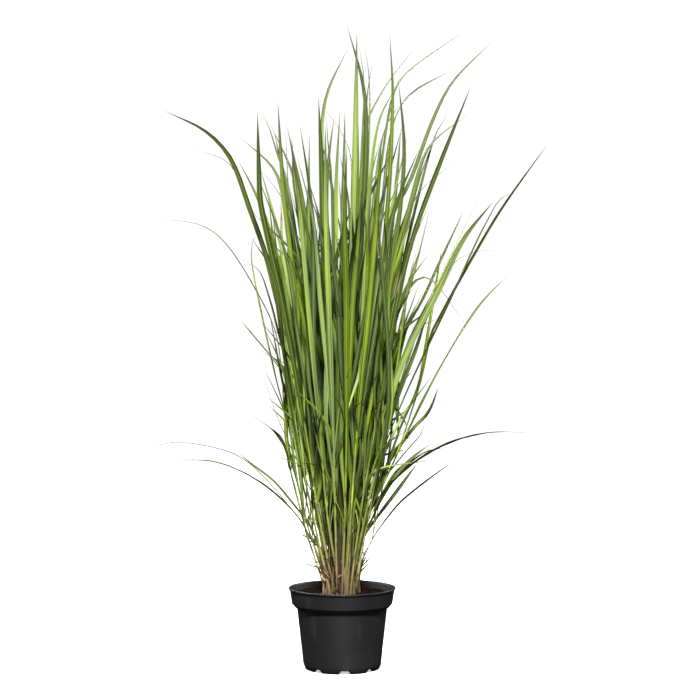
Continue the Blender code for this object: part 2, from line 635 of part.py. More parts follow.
def blade_width(full, share):
    """Width along a blade: from its collar, swelling, then drawn out to a fine tip."""
    swell = min(1.0, COLLAR_SHARE + (1.0 - COLLAR_SHARE) * share / SWELL_END)
    taper = 1.0 - max(0.0, (share - TAPER_START) / (1.0 - TAPER_START)) ** TAPER_POWER
    return max(TIP_WIDTH, full * swell * taper)


def ring(bm, centre, axes, shape):
    """A loop of vertices round a centre, shape giving (across, through) offsets."""
    across, through = axes
    return [bm.verts.new(centre + across * u + through * v) for u, v in shape]


def bridge(bm, low, high):
    """Quads between two loops of the same size."""
    count = len(low)
    return [bm.faces.new((low[i], low[(i + 1) % count], high[(i + 1) % count], high[i]))
            for i in range(count)]


def close_ends(bm, loops):
    """Skin a run of loops and cap both of its ends."""
    for low, high in zip(loops, loops[1:]):
        bridge(bm, low, high)
    bm.faces.new(loops[0][::-1])
    bm.faces.new(loops[-1])


def culm_shape(radius, towards):
    """A six-sided stem section with a flat turned towards a side leaf."""
    step = 2 * math.pi / CULM_SIDES
    return [(radius * math.cos(towards + (i + 0.5) * step), radius * math.sin(towards + (i + 0.5) * step))
            for i in range(CULM_SIDES)]


def build_culm(bm, curve, one, side_curves):
    """The stem from its planted foot to its top collar; returns its loops and the side leaves' faces."""
    world_x, world_y = Vector((1, 0, 0)), Vector((0, 1, 0))
    collars = [distance_up(curve, side[0, 2]) for side in side_curves]
    top = distance_up(curve, one.culm)
    marks = [0.0, distance_up(curve, MIX_HEIGHT + 0.001)]
    marks.append(0.5 * (marks[-1] + min(collars)))
    for at in sorted(collars):
        marks += [at - COLLAR_HALF, at + COLLAR_HALF]
    marks.append(top)
    bearings = []
    for side, at in zip(side_curves, collars):
        away = point_on(side, FIRST_RING) - point_on(curve, at + FIRST_RING)
        bearings.append(math.atan2(away[1], away[0]))
    towards = bearings[0] if bearings else 0.0
    loops = []
    for mark in marks:
        radius = CULM_RADIUS_LOW + (CULM_RADIUS_HIGH - CULM_RADIUS_LOW) * mark / top
        centre = Vector(point_on(curve, mark))
        loops.append(ring(bm, centre, (world_x, world_y), culm_shape(radius, towards)))
    bm.faces.new(loops[0][::-1])
    openings = {}
    for index, (low, high) in enumerate(zip(loops, loops[1:])):
        faces = bridge(bm, low, high)
        for order, at in enumerate(collars):
            if marks[index] == at - COLLAR_HALF:
                facet = round((bearings[order] - towards) / (2 * math.pi / CULM_SIDES)) - 1
                openings[order] = faces[facet % CULM_SIDES]
    return loops, top, openings


def build_leader(bm, curve, one, loop, top):
    """The leading blade, drawn flat from the culm's top loop to a fine tip."""
    total = lengths(curve)[-1]
    lean = lean_of(curve)
    last = None
    axes = None
    for mark in stations(curve, top, total, LEADER_STEPS):
        centre, way = place_at(curve, min(mark, total - 1e-4))
        axes = blade_axes(way, lean, one.leader.turn, axes)
        half = 0.5 * blade_width(one.leader.width, (mark - top) / (total - top))
        thick = min(0.5 * BLADE_THICKNESS, half * THIN_SHARE)
        shape = ((half, 0), (0, thick), (-half, 0), (0, -thick))
        now = ring(bm, centre, axes, shape)
        if last is None:
            join_culm_to_blade(bm, loop, now)
        else:
            bridge(bm, last, now)
        last = now
    bm.faces.new(last)


def join_culm_to_blade(bm, six, four):
    """Skin from the six-sided stem to the four-sided blade, a stem corner running into each blade edge."""
    edge, front, far, back = four
    across = edge.co - far.co
    through = front.co - back.co
    middle = sum((vert.co for vert in six), Vector()) / CULM_SIDES
    start = max(range(CULM_SIDES), key=lambda i: (six[i].co - middle).dot(across))
    hexagon = [six[(start + i) % CULM_SIDES] for i in range(CULM_SIDES)]
    if (hexagon[1].co - middle).dot(through) < 0:
        hexagon = [hexagon[0]] + hexagon[:0:-1]
    for face in ((hexagon[0], hexagon[1], front, edge), (hexagon[1], hexagon[2], front),
                 (hexagon[2], hexagon[3], far, front), (hexagon[3], hexagon[4], back, far),
                 (hexagon[4], hexagon[5], back), (hexagon[5], hexagon[0], edge, back)):
        bm.faces.new(face)


def build_side(bm, curve, blade, face):
    """A side leaf that grows out of one facet of the culm."""
    corners = [loop.vert for loop in face.loops]
    out = outward_of(corners)
    bmesh.ops.delete(bm, geom=[face], context="FACES_ONLY")
    total = lengths(curve)[-1]
    lean = lean_of(curve)
    last = corners
    axes = ((corners[1].co - corners[0].co).normalized(), out)
    for mark in [FIRST_RING] + stations(curve, FIRST_RING, total, SIDE_STEPS - 1):
        centre, way = place_at(curve, min(mark, total - 1e-4))
        half = 0.5 * blade_width(blade.width, mark / total)
        thick = min(0.5 * BLADE_THICKNESS, half * THIN_SHARE)
        first = mark == FIRST_RING
        axes = blade_axes(way, out if first else lean, 0.0 if first else blade.turn, axes)
        now = ring(bm, centre, axes, ((-half, thick), (half, thick), (half, -thick), (-half, -thick)))
        bridge(bm, last, now)
        last = now
    bm.faces.new(last)


def outward_of(corners):
    """Outward direction of a culm facet, level with the ground."""
    along = corners[1].co - corners[0].co
    return Vector((along.y, -along.x, 0.0)).normalized()


def lean_of(curve):
    """Level direction from a strand's foot to its tip."""
    lean = Vector(curve[-1] - curve[0])
    lean.z = 0.0
    return lean.normalized()


def build_shoots():
    """Forty culms, each with its leading blade and side leaves in one solid."""
    greens = [material(f"grass_{tone}", colour, 0.5) for tone, colour in (
        ("fresh", (0.19, 0.27, 0.06)), ("mid", (0.13, 0.20, 0.04)), ("grey", (0.16, 0.22, 0.09)))]
    strands = make_strands()
    settle(strands)
    number = 0
    for index, one in enumerate(SHOOTS):
        leader = strands[number]
        sides = strands[number + 1:number + 1 + len(one.sides)]
        number += 1 + len(one.sides)
        curve = leader.curve()
        side_curves = [side.curve() for side in sides]
        bm = bmesh.new()
        loops, top, openings = build_culm(bm, curve, one, side_curves)
        for order, side in enumerate(one.sides):
            build_side(bm, side_curves[order], side, openings[order])
        build_leader(bm, curve, one, loops[-1], top)
        add_object(f"shoot_{index + 1:02d}", bm, greens[index % len(greens)], sharp_angle=50)


# --------------------------------------------------------------------------- potting mix

def build_mix():
    """Potting mix filling the pot, with a planting hole for every culm."""
    soil = material("potting_mix", (0.030, 0.018, 0.011), 0.95)
    floor_z = FLOOR_HEIGHT + WALL + GAP
    inner_foot = WALL_FOOT_RADIUS - WALL - FLOOR_CORNER - GAP
    outline = [
        (BAND_FOOT_RADIUS - WALL - GAP + (BAND_RADIUS - BAND_FOOT_RADIUS)
         * (MIX_HEIGHT - BAND_FOOT_HEIGHT - WALL) / (POT_HEIGHT - BAND_FOOT_HEIGHT - WALL), MIX_HEIGHT),
        (BAND_FOOT_RADIUS - WALL - GAP, BAND_FOOT_HEIGHT + WALL + GAP),
        (WALL_TOP_RADIUS - WALL - GAP, WALL_TOP_HEIGHT + WALL + GAP),
        (inner_foot, floor_z),
    ]
    mix = add_object("potting_mix", turned(outline, closed=False), soil, sharp_angle=40)
    bm = bmesh.new()
    for root_x, root_y in crown_places():
        radius = (CULM_RADIUS_LOW + GAP) / math.cos(math.pi / CULM_SIDES)
        depth = PLANT_DEPTH + GAP
        place = Matrix.Translation((root_x, root_y, MIX_HEIGHT + 0.5 * (CUTTER_REACH - depth)))
        bmesh.ops.create_cone(bm, cap_ends=True, segments=CULM_SIDES, radius1=radius, radius2=radius,
                              depth=depth + CUTTER_REACH, matrix=place)
    cut(mix, add_cutter("cutter_planting", bm))


def main():
    clear_scene()
    build_pot()
    build_mix()
    build_shoots()


main()
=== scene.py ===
"""Potted ornamental grass clump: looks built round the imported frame.

Laid out as a Blender add-on and run as a script. Metres, +Z up, the frame's own axes.
"""

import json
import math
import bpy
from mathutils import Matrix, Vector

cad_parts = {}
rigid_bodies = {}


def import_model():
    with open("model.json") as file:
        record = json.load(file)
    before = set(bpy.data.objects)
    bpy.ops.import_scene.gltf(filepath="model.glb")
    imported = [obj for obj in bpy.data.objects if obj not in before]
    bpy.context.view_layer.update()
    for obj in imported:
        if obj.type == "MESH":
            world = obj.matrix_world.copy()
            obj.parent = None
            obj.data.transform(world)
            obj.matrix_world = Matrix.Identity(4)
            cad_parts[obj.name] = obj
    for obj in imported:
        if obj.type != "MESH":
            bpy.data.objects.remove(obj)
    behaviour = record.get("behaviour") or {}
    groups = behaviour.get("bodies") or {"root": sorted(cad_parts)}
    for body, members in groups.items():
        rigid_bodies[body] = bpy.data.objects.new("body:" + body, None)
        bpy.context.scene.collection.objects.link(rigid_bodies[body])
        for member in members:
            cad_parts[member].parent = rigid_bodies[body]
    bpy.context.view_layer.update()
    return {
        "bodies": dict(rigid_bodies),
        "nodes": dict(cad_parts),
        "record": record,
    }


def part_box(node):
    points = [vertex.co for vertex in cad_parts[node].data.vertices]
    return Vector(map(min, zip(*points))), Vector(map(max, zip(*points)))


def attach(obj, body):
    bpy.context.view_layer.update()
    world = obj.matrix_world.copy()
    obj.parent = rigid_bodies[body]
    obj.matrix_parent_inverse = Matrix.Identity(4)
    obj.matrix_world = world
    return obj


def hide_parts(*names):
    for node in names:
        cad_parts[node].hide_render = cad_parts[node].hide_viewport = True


bl_info = {
    "name": "Potted Ornamental Grass",
    "version": (1, 0, 0),
    "blender": (4, 5, 0),
    "location": "View3D > Sidebar > Grass Pot",
    "description": "Builds a tall clump of garden grass in a black nursery pot",
    "category": "Add Mesh",
}

import bmesh
import bpy
import numpy as np
from bpy.props import FloatProperty, FloatVectorProperty, IntProperty, PointerProperty
from mathutils import Euler, Matrix, Vector, noise

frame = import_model()
BODY = next(iter(frame["bodies"]))

POT_LOW, POT_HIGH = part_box("pot")
MIX_LOW, MIX_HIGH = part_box("potting_mix")
SHOOT_NODES = sorted(name for name in frame["nodes"] if name.startswith("shoot_"))
SHOOT_SLOTS = {row["node"]: row["material_slot"] for row in frame["record"]["subparts"]}
CROWN_FOOT = min(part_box(name)[0].z for name in SHOOT_NODES)

MERGE = 1e-5                    # vertices of a node closer than this are one
TIP_REACH = 0.0026              # a blade's last loop is no wider than this
LEVEL = 0.0001                  # culm corners this close in height are one loop


# ------------------------------------------------------------------------------ settings

class GrassPotSettings(bpy.types.PropertyGroup):
    """Shape and finish of the moulded pot."""

    rim_radius: FloatProperty(
        name="Rim radius", description="Outer radius of the rolled lip",
        default=(POT_HIGH.x - POT_LOW.x) / 2, min=0.02, unit="LENGTH")
    height: FloatProperty(
        name="Height", description="Floor to the top of the lip",
        default=POT_HIGH.z, min=0.02, unit="LENGTH")
    lip_height: FloatProperty(
        name="Lip height", description="Height of the rolled lip",
        default=0.0032, min=0.001, unit="LENGTH")
    band_radius: FloatProperty(
        name="Band radius", description="Radius of the deep band just under the lip",
        default=0.0933, unit="LENGTH")
    band_foot_radius: FloatProperty(
        name="Band foot radius", description="Radius of the band at its lower edge",
        default=0.0888, unit="LENGTH")
    band_foot: FloatProperty(
        name="Band foot height", description="Height of the band's lower edge",
        default=0.1135, unit="LENGTH")
    wall_top_radius: FloatProperty(
        name="Wall top radius", description="Radius of the tapered wall under the band",
        default=0.0800, unit="LENGTH")
    wall_top: FloatProperty(
        name="Wall top height", description="Height at which the tapered wall starts",
        default=0.1068, unit="LENGTH")
    wall_foot_radius: FloatProperty(
        name="Wall foot radius", description="Radius of the tapered wall at its foot",
        default=0.0692, unit="LENGTH")
    base_radius: FloatProperty(
        name="Base radius", description="Radius of the flat feet",
        default=0.0650, unit="LENGTH")
    wall: FloatProperty(
        name="Wall thickness", description="Thickness of the plastic",
        default=0.0013, min=0.0004, unit="LENGTH")
    floor: FloatProperty(
        name="Raised floor", description="Underside of the raised floor",
        default=0.0070, unit="LENGTH")
    notches: IntProperty(
        name="Notches", description="Notches that split the foot ring into feet",
        default=8, min=0, max=24)
    first_notch: FloatProperty(
        name="First notch", description="Bearing of the first notch",
        default=math.radians(-86.0), subtype="ANGLE")
    colour: FloatVectorProperty(
        name="Plastic", description="Colour of the plastic",
        default=(0.0098, 0.0098, 0.0101), size=3, min=0, max=1, subtype="COLOR")
    roughness: FloatProperty(
        name="Roughness", description="How matte the plastic is",
        default=0.46, min=0, max=1, subtype="FACTOR")


class GrassMixSettings(bpy.types.PropertyGroup):
    """Surface of the potting mix."""

    lumps: FloatProperty(
        name="Lumps", description="Height of the lumps in the surface",
        default=0.0016, min=0, unit="LENGTH")
    crumbs: IntProperty(
        name="Crumbs", description="Loose crumbs on the surface",
        default=1500, min=0, max=4000)
    chips: IntProperty(
        name="Bark chips", description="Flat bark chips on the surface",
        default=150, min=0, max=1000)
    fibres: IntProperty(
        name="Fibres", description="Thin root and coir fibres on the surface",
        default=160, min=0, max=1000)
    colour: FloatVectorProperty(
        name="Mix", description="Main colour of the damp mix",
        default=(0.0044, 0.0018, 0.0009), size=3, min=0, max=1, subtype="COLOR")
    bark: FloatVectorProperty(
        name="Bark", description="Colour of bark chips and fibres",
        default=(0.020, 0.0072, 0.0036), size=3, min=0, max=1, subtype="COLOR")
    seed: IntProperty(name="Seed", description="Seed of the scatter", default=11)


class GrassLeafSettings(bpy.types.PropertyGroup):
    """Culms and blades."""

    extra_leaves: IntProperty(
        name="Further leaves", description="Leaves on each shoot besides its leader and first side leaf",
        default=6, min=0, max=16)
    width: FloatProperty(
        name="Blade width", description="Widest part of an ordinary blade",
        default=0.0088, min=0.001, unit="LENGTH")
    rings: IntProperty(
        name="Blade steps", description="Steps along a blade",
        default=34, min=8, max=80)
    fold: FloatProperty(
        name="Fold", description="How far each half of a blade is folded up from flat",
        default=math.radians(24), subtype="ANGLE")
    midrib: FloatProperty(
        name="Midrib", description="Thickness of a blade at its midrib",
        default=0.00062, unit="LENGTH")
    culm_radius: FloatProperty(
        name="Culm radius", description="Radius of a culm with its sheaths at the mix",
        default=0.0021, unit="LENGTH")
    fresh: FloatVectorProperty(
        name="Fresh green", description="Young blades",
        default=(0.340, 0.440, 0.016), size=3, min=0, max=1, subtype="COLOR")
    green: FloatVectorProperty(
        name="Green", description="Grown blades",
        default=(0.100, 0.155, 0.009), size=3, min=0, max=1, subtype="COLOR")
    grey: FloatVectorProperty(
        name="Grey green", description="Blades with a bloom on them",
        default=(0.155, 0.225, 0.080), size=3, min=0, max=1, subtype="COLOR")
    deep: FloatVectorProperty(
        name="Deep green", description="Oldest green blades",
        default=(0.015, 0.026, 0.003), size=3, min=0, max=1, subtype="COLOR")
    straw: FloatVectorProperty(
        name="Straw", description="Dried tips, sheaths and stubs",
        default=(0.400, 0.320, 0.165), size=3, min=0, max=1, subtype="COLOR")
    seed: IntProperty(name="Seed", description="Seed of the leaves' variety", default=5)


class GrassStageSettings(bpy.types.PropertyGroup):
    """Floor, lights and camera."""

    distance: FloatProperty(
        name="Camera distance", description="From the pot's axis", default=3.2, unit="LENGTH")
    eye: FloatProperty(
        name="Eye height", description="Height of the camera", default=0.600, unit="LENGTH")
    aim: FloatProperty(
        name="Aim height", description="Height that the camera looks at", default=0.568, unit="LENGTH")
    aside: FloatProperty(
        name="Aside", description="How far the camera stands to the right of the axis",
        default=0.0103, unit="LENGTH")
    lens: FloatProperty(name="Lens", description="Focal length in millimetres", default=93.4)
    key: FloatProperty(name="Key light", description="Power of the key light in watts", default=345.0)
    fill: FloatProperty(name="Fill light", description="Power of the fill light in watts", default=42.0)
    top: FloatProperty(name="Top light", description="Power of the top light in watts", default=120.0)
    edge: FloatProperty(
        name="Edge lights", description="Power in watts of each light behind the clump", default=8.0)
    surround: FloatProperty(
        name="Surround", description="Strength of the even light from all round", default=0.075)


# --------------------------------------------------------------------------- small helpers

def add_piece(name, mesh, materials, slot, *nodes):
    """Put a mesh in the scene as a piece of the object."""
    obj = bpy.data.objects.new(name, mesh)
    bpy.context.scene.collection.objects.link(obj)
    for mat in materials:
        mesh.materials.append(mat)
    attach(obj, BODY)
    if nodes:
        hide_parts(*nodes)
    return obj


def mesh_from_bmesh(name, bm, sharp_angle=None):
    """Turn a bmesh into a mesh, smooth where it bends less than the angle."""
    mesh = bpy.data.meshes.new(name)
    bm.to_mesh(mesh)
    bm.free()
    if sharp_angle is not None:
        mesh.shade_smooth()
        mesh.set_sharp_from_angle(angle=math.radians(sharp_angle))
    return mesh


def arc(centre, radius, start, end, steps):
    """Points of a circular arc in an (r, z) outline, angles in degrees."""
    angles = np.radians(np.linspace(start, end, steps + 1))
    return [(centre[0] + radius * math.cos(a), centre[1] + radius * math.sin(a)) for a in angles]


def turned(outline, steps):
    """A closed (r, z) outline turned about +Z."""
    bm = bmesh.new()
    verts = [bm.verts.new((r, 0.0, z)) for r, z in outline]
    edges = [bm.edges.new((verts[i], verts[(i + 1) % len(verts)])) for i in range(len(verts))]
    bmesh.ops.spin(bm, geom=verts + edges, cent=(0, 0, 0), axis=(0, 0, 1), angle=2 * math.pi,
                   steps=steps, use_merge=True)
    bmesh.ops.recalc_face_normals(bm, faces=bm.faces[:])
    return bm


def smooth_step(value):
    """0 to 1 with level ends."""
    value = np.clip(value, 0.0, 1.0)
    return value * value * (3 - 2 * value)


def lengths(curve):
    """Distance along a curve at each of its points."""
    return np.concatenate(([0.0], np.cumsum(np.linalg.norm(np.diff(curve, axis=0), axis=1))))


def along_curve(curve, distances):
    """Points at distances along a curve."""
    at = lengths(curve)
    return np.stack([np.interp(distances, at, curve[:, axis]) for axis in range(curve.shape[1])], axis=1)


def smooth_curve(points, per_span=10):
    """Centripetal Catmull-Rom curve through points, as a dense array."""
    pts = [np.array(p, float) for p in points]
    pts = [2 * pts[0] - pts[1]] + pts + [2 * pts[-1] - pts[-2]]
    out = []
    for p0, p1, p2, p3 in zip(pts, pts[1:], pts[2:], pts[3:]):
        t1 = max(np.linalg.norm(p1 - p0), 1e-6) ** 0.5
        t2 = t1 + max(np.linalg.norm(p2 - p1), 1e-6) ** 0.5
        t3 = t2 + max(np.linalg.norm(p3 - p2), 1e-6) ** 0.5
        t = np.linspace(t1, t2, per_span, endpoint=False)[:, None]
        a1 = (t1 - t) / t1 * p0 + t / t1 * p1
        a2 = (t2 - t) / (t2 - t1) * p1 + (t - t1) / (t2 - t1) * p2
        a3 = (t3 - t) / (t3 - t2) * p2 + (t - t2) / (t3 - t2) * p3
        b1 = (t2 - t) / t2 * a1 + t / t2 * a2
        b2 = (t3 - t) / (t3 - t1) * a2 + (t - t1) / (t3 - t1) * a3
        out.append((t2 - t) / (t2 - t1) * b1 + (t - t1) / (t2 - t1) * b2)
    out.append(pts[-2][None, :])
    return np.concatenate(out)


def at_height(line, z):
    """The point of a rising line at a height."""
    return np.array([np.interp(z, line[:, 2], line[:, axis]) for axis in range(3)])


def unit(vectors):
    """Rows scaled to length 1."""
    return vectors / np.maximum(np.linalg.norm(vectors, axis=-1, keepdims=True), 1e-9)


# ------------------------------------------------------------------------- node materials

class Nodes:
    """Short calls for building a material's node tree."""

    def __init__(self, name):
        self.mat = bpy.data.materials.new(name)
        self.mat.use_nodes = True
        self.tree = self.mat.node_tree
        self.tree.nodes.clear()
        self.out = self.tree.nodes.new("ShaderNodeOutputMaterial")

    def add(self, kind, **values):
        """A node with its properties set."""
        node = self.tree.nodes.new("ShaderNode" + kind)
        for key, value in values.items():
            setattr(node, key, value)
        return node

    def link(self, source, target):
        """Join an output socket to an input socket."""
        self.tree.links.new(source, target)

    def put(self, node, name, value):
        """Set an input to a value, or join it to a socket."""
        if isinstance(value, bpy.types.NodeSocket):
            self.link(value, node.inputs[name])
        else:
            node.inputs[name].default_value = value

    def attribute(self, name):
        """A number stored on the mesh."""
        return self.add("Attribute", attribute_name=name).outputs["Fac"]

    def maths(self, operation, first, second=0.0):
        """One operation on numbers."""
        node = self.add("Math", operation=operation)
        self.put(node, 0, first)
        self.put(node, 1, second)
        return node.outputs[0]

    def times(self, first, second):
        """Two numbers multiplied."""
        return self.maths("MULTIPLY", first, second)

    def plus(self, first, second):
        """Two numbers added."""
        return self.maths("ADD", first, second)

    def about_nought(self, value, share):
        """A noise value made to swing about nought, and scaled."""
        return self.times(self.maths("SUBTRACT", value, 0.5), share)

    def spread(self, value, low, high, to_low=0.0, to_high=1.0, kind="SMOOTHSTEP"):
        """A number carried from one range to another."""
        node = self.add("MapRange", interpolation_type=kind)
        for name, number in (("Value", value), ("From Min", low), ("From Max", high),
                             ("To Min", to_low), ("To Max", to_high)):
            self.put(node, name, number)
        return node.outputs["Result"]

    def mix(self, share, first, second):
        """Two colours mixed."""
        node = self.add("Mix", data_type="RGBA", clamp_factor=True)
        self.put(node, 0, share)
        for index, colour in ((6, first), (7, second)):
            if not isinstance(colour, bpy.types.NodeSocket) and len(colour) == 3:
                colour = (*colour, 1.0)
            self.put(node, index, colour)
        return node.outputs[2]

    def noise(self, scale, detail=3.0, vector=None, roughness=0.5):
        """A noise value."""
        node = self.add("TexNoise")
        if vector is not None:
            self.link(vector, node.inputs["Vector"])
        self.put(node, "Scale", scale)
        self.put(node, "Detail", detail)
        self.put(node, "Roughness", roughness)
        return node.outputs["Fac"]

    def here(self, scale=(1, 1, 1)):
        """Object coordinates, stretched."""
        node = self.add("Mapping")
        self.link(self.add("TexCoord").outputs["Object"], node.inputs["Vector"])
        node.inputs["Scale"].default_value = scale
        return node.outputs["Vector"]

    def bump(self, height, strength, distance):
        """A bump from a height."""
        node = self.add("Bump")
        self.put(node, "Height", height)
        self.put(node, "Strength", strength)
        self.put(node, "Distance", distance)
        return node.outputs["Normal"]

    def principled(self, colour, roughness, normal=None, **plain):
        """The main shader."""
        node = self.add("BsdfPrincipled")
        if not isinstance(colour, bpy.types.NodeSocket):
            colour = (*colour, 1.0)
        self.put(node, "Base Color", colour)
        self.put(node, "Roughness", roughness)
        if normal is not None:
            self.link(normal, node.inputs["Normal"])
        for name, value in plain.items():
            self.put(node, name.replace("_", " "), value)
        return node.outputs["BSDF"]

    def finish(self, shader):
        """Join the shader to the output."""
        self.link(shader, self.out.inputs["Surface"])
        return self.mat


# ------------------------------------------------------------------------------------ pot

LIP_FILLET = 0.0008             # depth of the hollow between the lip and the band
BAND_CORNER = 0.0022            # radius of the band's lower edge
LEDGE_ROUND = 0.0016            # radius where the tapered wall meets the ledge
FOOT_HEIGHT = 0.0100            # where the wall turns in to the feet
FOOT_RING = 0.0065              # width of the ring that is split into feet
MIDDLE_HOLE = 0.0060            # radius of the drain hole in the middle
HOLE = 0.0045                   # radius of the other drain holes
HOLE_CIRCLE = 0.040             # radius of the circle that they stand on
DUST = (0.032, 0.029, 0.026)    # dried splashes of mix


def straight(start, end, first, last, count):
    """Points on the line between two (r, z) places, from one share of the way to another."""
    return [tuple(a + (b - a) * share for a, b in zip(start, end))
            for share in np.linspace(first, last, count)]


def pot_outside(pot):
    """The lip, the band, the ledge and the tapered wall, from the lip's top down to the feet."""
    lip_round = pot.lip_height * 0.42
    under_lip = pot.height - pot.lip_height
    band_drop = under_lip - pot.band_foot
    band_lean = (pot.band_radius - pot.band_foot_radius) / band_drop
    points = arc((pot.rim_radius - lip_round, pot.height - lip_round), lip_round, 90, 0, 5)
    points += arc((pot.rim_radius - lip_round, under_lip + lip_round * 0.6), lip_round, 0, -80, 4)
    for share in np.linspace(0.02, 0.93, 9):
        z = under_lip - LIP_FILLET - share * (band_drop - LIP_FILLET)
        points.append((pot.band_radius - band_lean * (under_lip - z), z))
    points += arc((pot.band_foot_radius - BAND_CORNER, pot.band_foot + BAND_CORNER), BAND_CORNER, 0, -62, 5)
    points += [(pot.wall_top_radius + LEDGE_ROUND * out, pot.wall_top + LEDGE_ROUND * up)
               for out, up in ((1.6, 0.9), (0.5, 0.35), (0.0, -0.7))]
    return points + straight((pot.wall_top_radius, pot.wall_top), (pot.wall_foot_radius, FOOT_HEIGHT),
                             0.06, 1.0, 16)


def pot_underside(pot):
    """The foot ring with its rounded edges, and the raised floor in to the middle drain hole."""
    inner = pot.base_radius - FOOT_RING
    points = [(pot.wall_foot_radius - 0.0005, FOOT_HEIGHT - 0.0022),
              (pot.base_radius + 0.0009, 0.0014), (pot.base_radius + 0.0002, 0.0004),
              (pot.base_radius - 0.0006, 0.0),
              (inner + 0.0005, 0.0), (inner, 0.0005), (inner, pot.floor)]
    points += [(inner * share, pot.floor) for share in (0.75, 0.5, 0.25)]
    return points + [(MIDDLE_HOLE, pot.floor)]


def pot_inside(pot):
    """The floor from the middle drain hole out, then the wall and the band up to the lip."""
    wall = pot.wall
    floor_top = pot.floor + wall
    foot = pot.wall_foot_radius - wall - 0.0006
    band_foot = (pot.band_foot_radius - wall, pot.band_foot + wall)
    points = [(MIDDLE_HOLE, floor_top)]
    points += [((pot.base_radius - FOOT_RING) * share, floor_top) for share in (0.25, 0.5, 0.75)]
    points += [(foot - 0.001, floor_top), (foot, floor_top + 0.001)]
    points += straight((foot, floor_top), (pot.wall_top_radius - wall, pot.wall_top + wall), 0.1, 1.0, 8)
    points += [(band_foot[0] - 0.0012, band_foot[1] - 0.0004), (band_foot[0], band_foot[1] + 0.0010)]
    points += straight(band_foot, (pot.band_radius - wall, pot.height), 0.1, 0.97, 8)
    return points + [(pot.band_radius - wall + 0.0003, pot.height - 0.0003),
                     (pot.band_radius - 0.0002, pot.height)]


def notch_blocks(pot):
    """Trapezoid blocks that split the foot ring into feet, and pins for the drain holes."""
    bm = bmesh.new()
    inner = pot.base_radius - FOOT_RING - 0.004
    outer = pot.wall_foot_radius + 0.006
    low, high, top, corner = 0.0125, 0.0070, 0.0066, 0.0016
    arch = [(high - corner + corner * math.sin(a), top - corner + corner * math.cos(a))
            for a in np.radians([75, 45, 15])]
    section = [(-low, -0.002), (low, -0.002)] + arch + [(-y, z) for y, z in reversed(arch)]
    count = len(section)
    for index in range(pot.notches):
        turn = Matrix.Rotation(pot.first_notch + index * 2 * math.pi / pot.notches, 3, "Z")
        near, far = ([bm.verts.new(turn @ Vector((radius, y, z))) for y, z in section]
                     for radius in (inner, outer))
        bm.faces.new(near[::-1])
        bm.faces.new(far)
        for i in range(count):
            bm.faces.new((near[i], near[(i + 1) % count], far[(i + 1) % count], far[i]))
    for index in range(pot.notches // 2):
        bearing = pot.first_notch + (2 * index + 0.5) * 2 * math.pi / pot.notches
        place = (HOLE_CIRCLE * math.cos(bearing), HOLE_CIRCLE * math.sin(bearing), pot.floor)
        bmesh.ops.create_cone(bm, cap_ends=True, segments=24, radius1=HOLE, radius2=HOLE,
                              depth=0.006, matrix=Matrix.Translation(place))
    bmesh.ops.recalc_face_normals(bm, faces=bm.faces[:])
    return mesh_from_bmesh("notch_blocks", bm)


def plastic_material(pot):
    """Black moulded plastic: satin, with a faint grain, scuffs and dried splashes of mix."""
    n = Nodes("pot_plastic")
    grain = n.noise(900.0, 2.0, n.here())
    scuff = n.noise(28.0, 6.0, n.here((1, 1, 0.35)), 0.62)
    scuffs = n.spread(scuff, 0.56, 0.74)
    dust = n.noise(9.0, 5.0, n.here((1, 1, 1.6)))
    dusty = n.spread(dust, 0.50, 0.80)
    base = tuple(pot.colour)
    worn = tuple(min(1.0, c * 1.9 + 0.004) for c in base)
    colour = n.mix(n.times(scuffs, 0.5), base, worn)
    colour = n.mix(n.times(dusty, 0.30), colour, DUST)
    rough = n.plus(pot.roughness, n.times(scuffs, 0.10))
    rough = n.plus(rough, n.about_nought(grain, 0.08))
    normal = n.bump(n.plus(grain, n.times(scuff, 0.6)), 0.25, 0.0002)
    return n.finish(n.principled(colour, rough, normal, Specular_IOR_Level=0.30))


class GRASS_OT_pot(bpy.types.Operator):
    """Mould the black nursery pot with its lip, band, feet and drain holes"""

    bl_idname = "grass.pot"
    bl_label = "Nursery Pot"

    def execute(self, context):
        pot = context.scene.grass_pot
        outline = pot_outside(pot) + pot_underside(pot) + pot_inside(pot)
        body = bpy.data.objects.new("pot_moulding", mesh_from_bmesh("pot_moulding", turned(outline, 144)))
        blocks = bpy.data.objects.new("notch_blocks", notch_blocks(pot))
        for obj in (body, blocks):
            context.scene.collection.objects.link(obj)
        cut = body.modifiers.new("notches", "BOOLEAN")
        cut.operation = "DIFFERENCE"
        cut.solver = "EXACT"
        cut.object = blocks
        context.view_layer.update()
        mesh = bpy.data.meshes.new_from_object(body.evaluated_get(context.evaluated_depsgraph_get()))
        mesh.name = "nursery_pot"
        for obj in (body, blocks):
            bpy.data.objects.remove(obj, do_unlink=True)
        mesh.materials.clear()
        mesh.shade_smooth()
        mesh.set_sharp_from_angle(angle=math.radians(38))
        add_piece("nursery_pot", mesh, [plastic_material(pot)], "pot_plastic", "pot")
        return {"FINISHED"}


# ------------------------------------------------------------------------------ potting mix

CRUMB = 0.0009                  # half the size of the commonest crumb
BIGGEST_CRUMB = 0.0026
FIBRE_STEPS = 6
FIBRE_TONE = 0.95               # pale, like the bark
MOUND_HEIGHT, MOUND_SPREAD = 0.0016, 0.036
SURFACE_DROP = 0.0022           # from the solid's top to the middle of the lumps


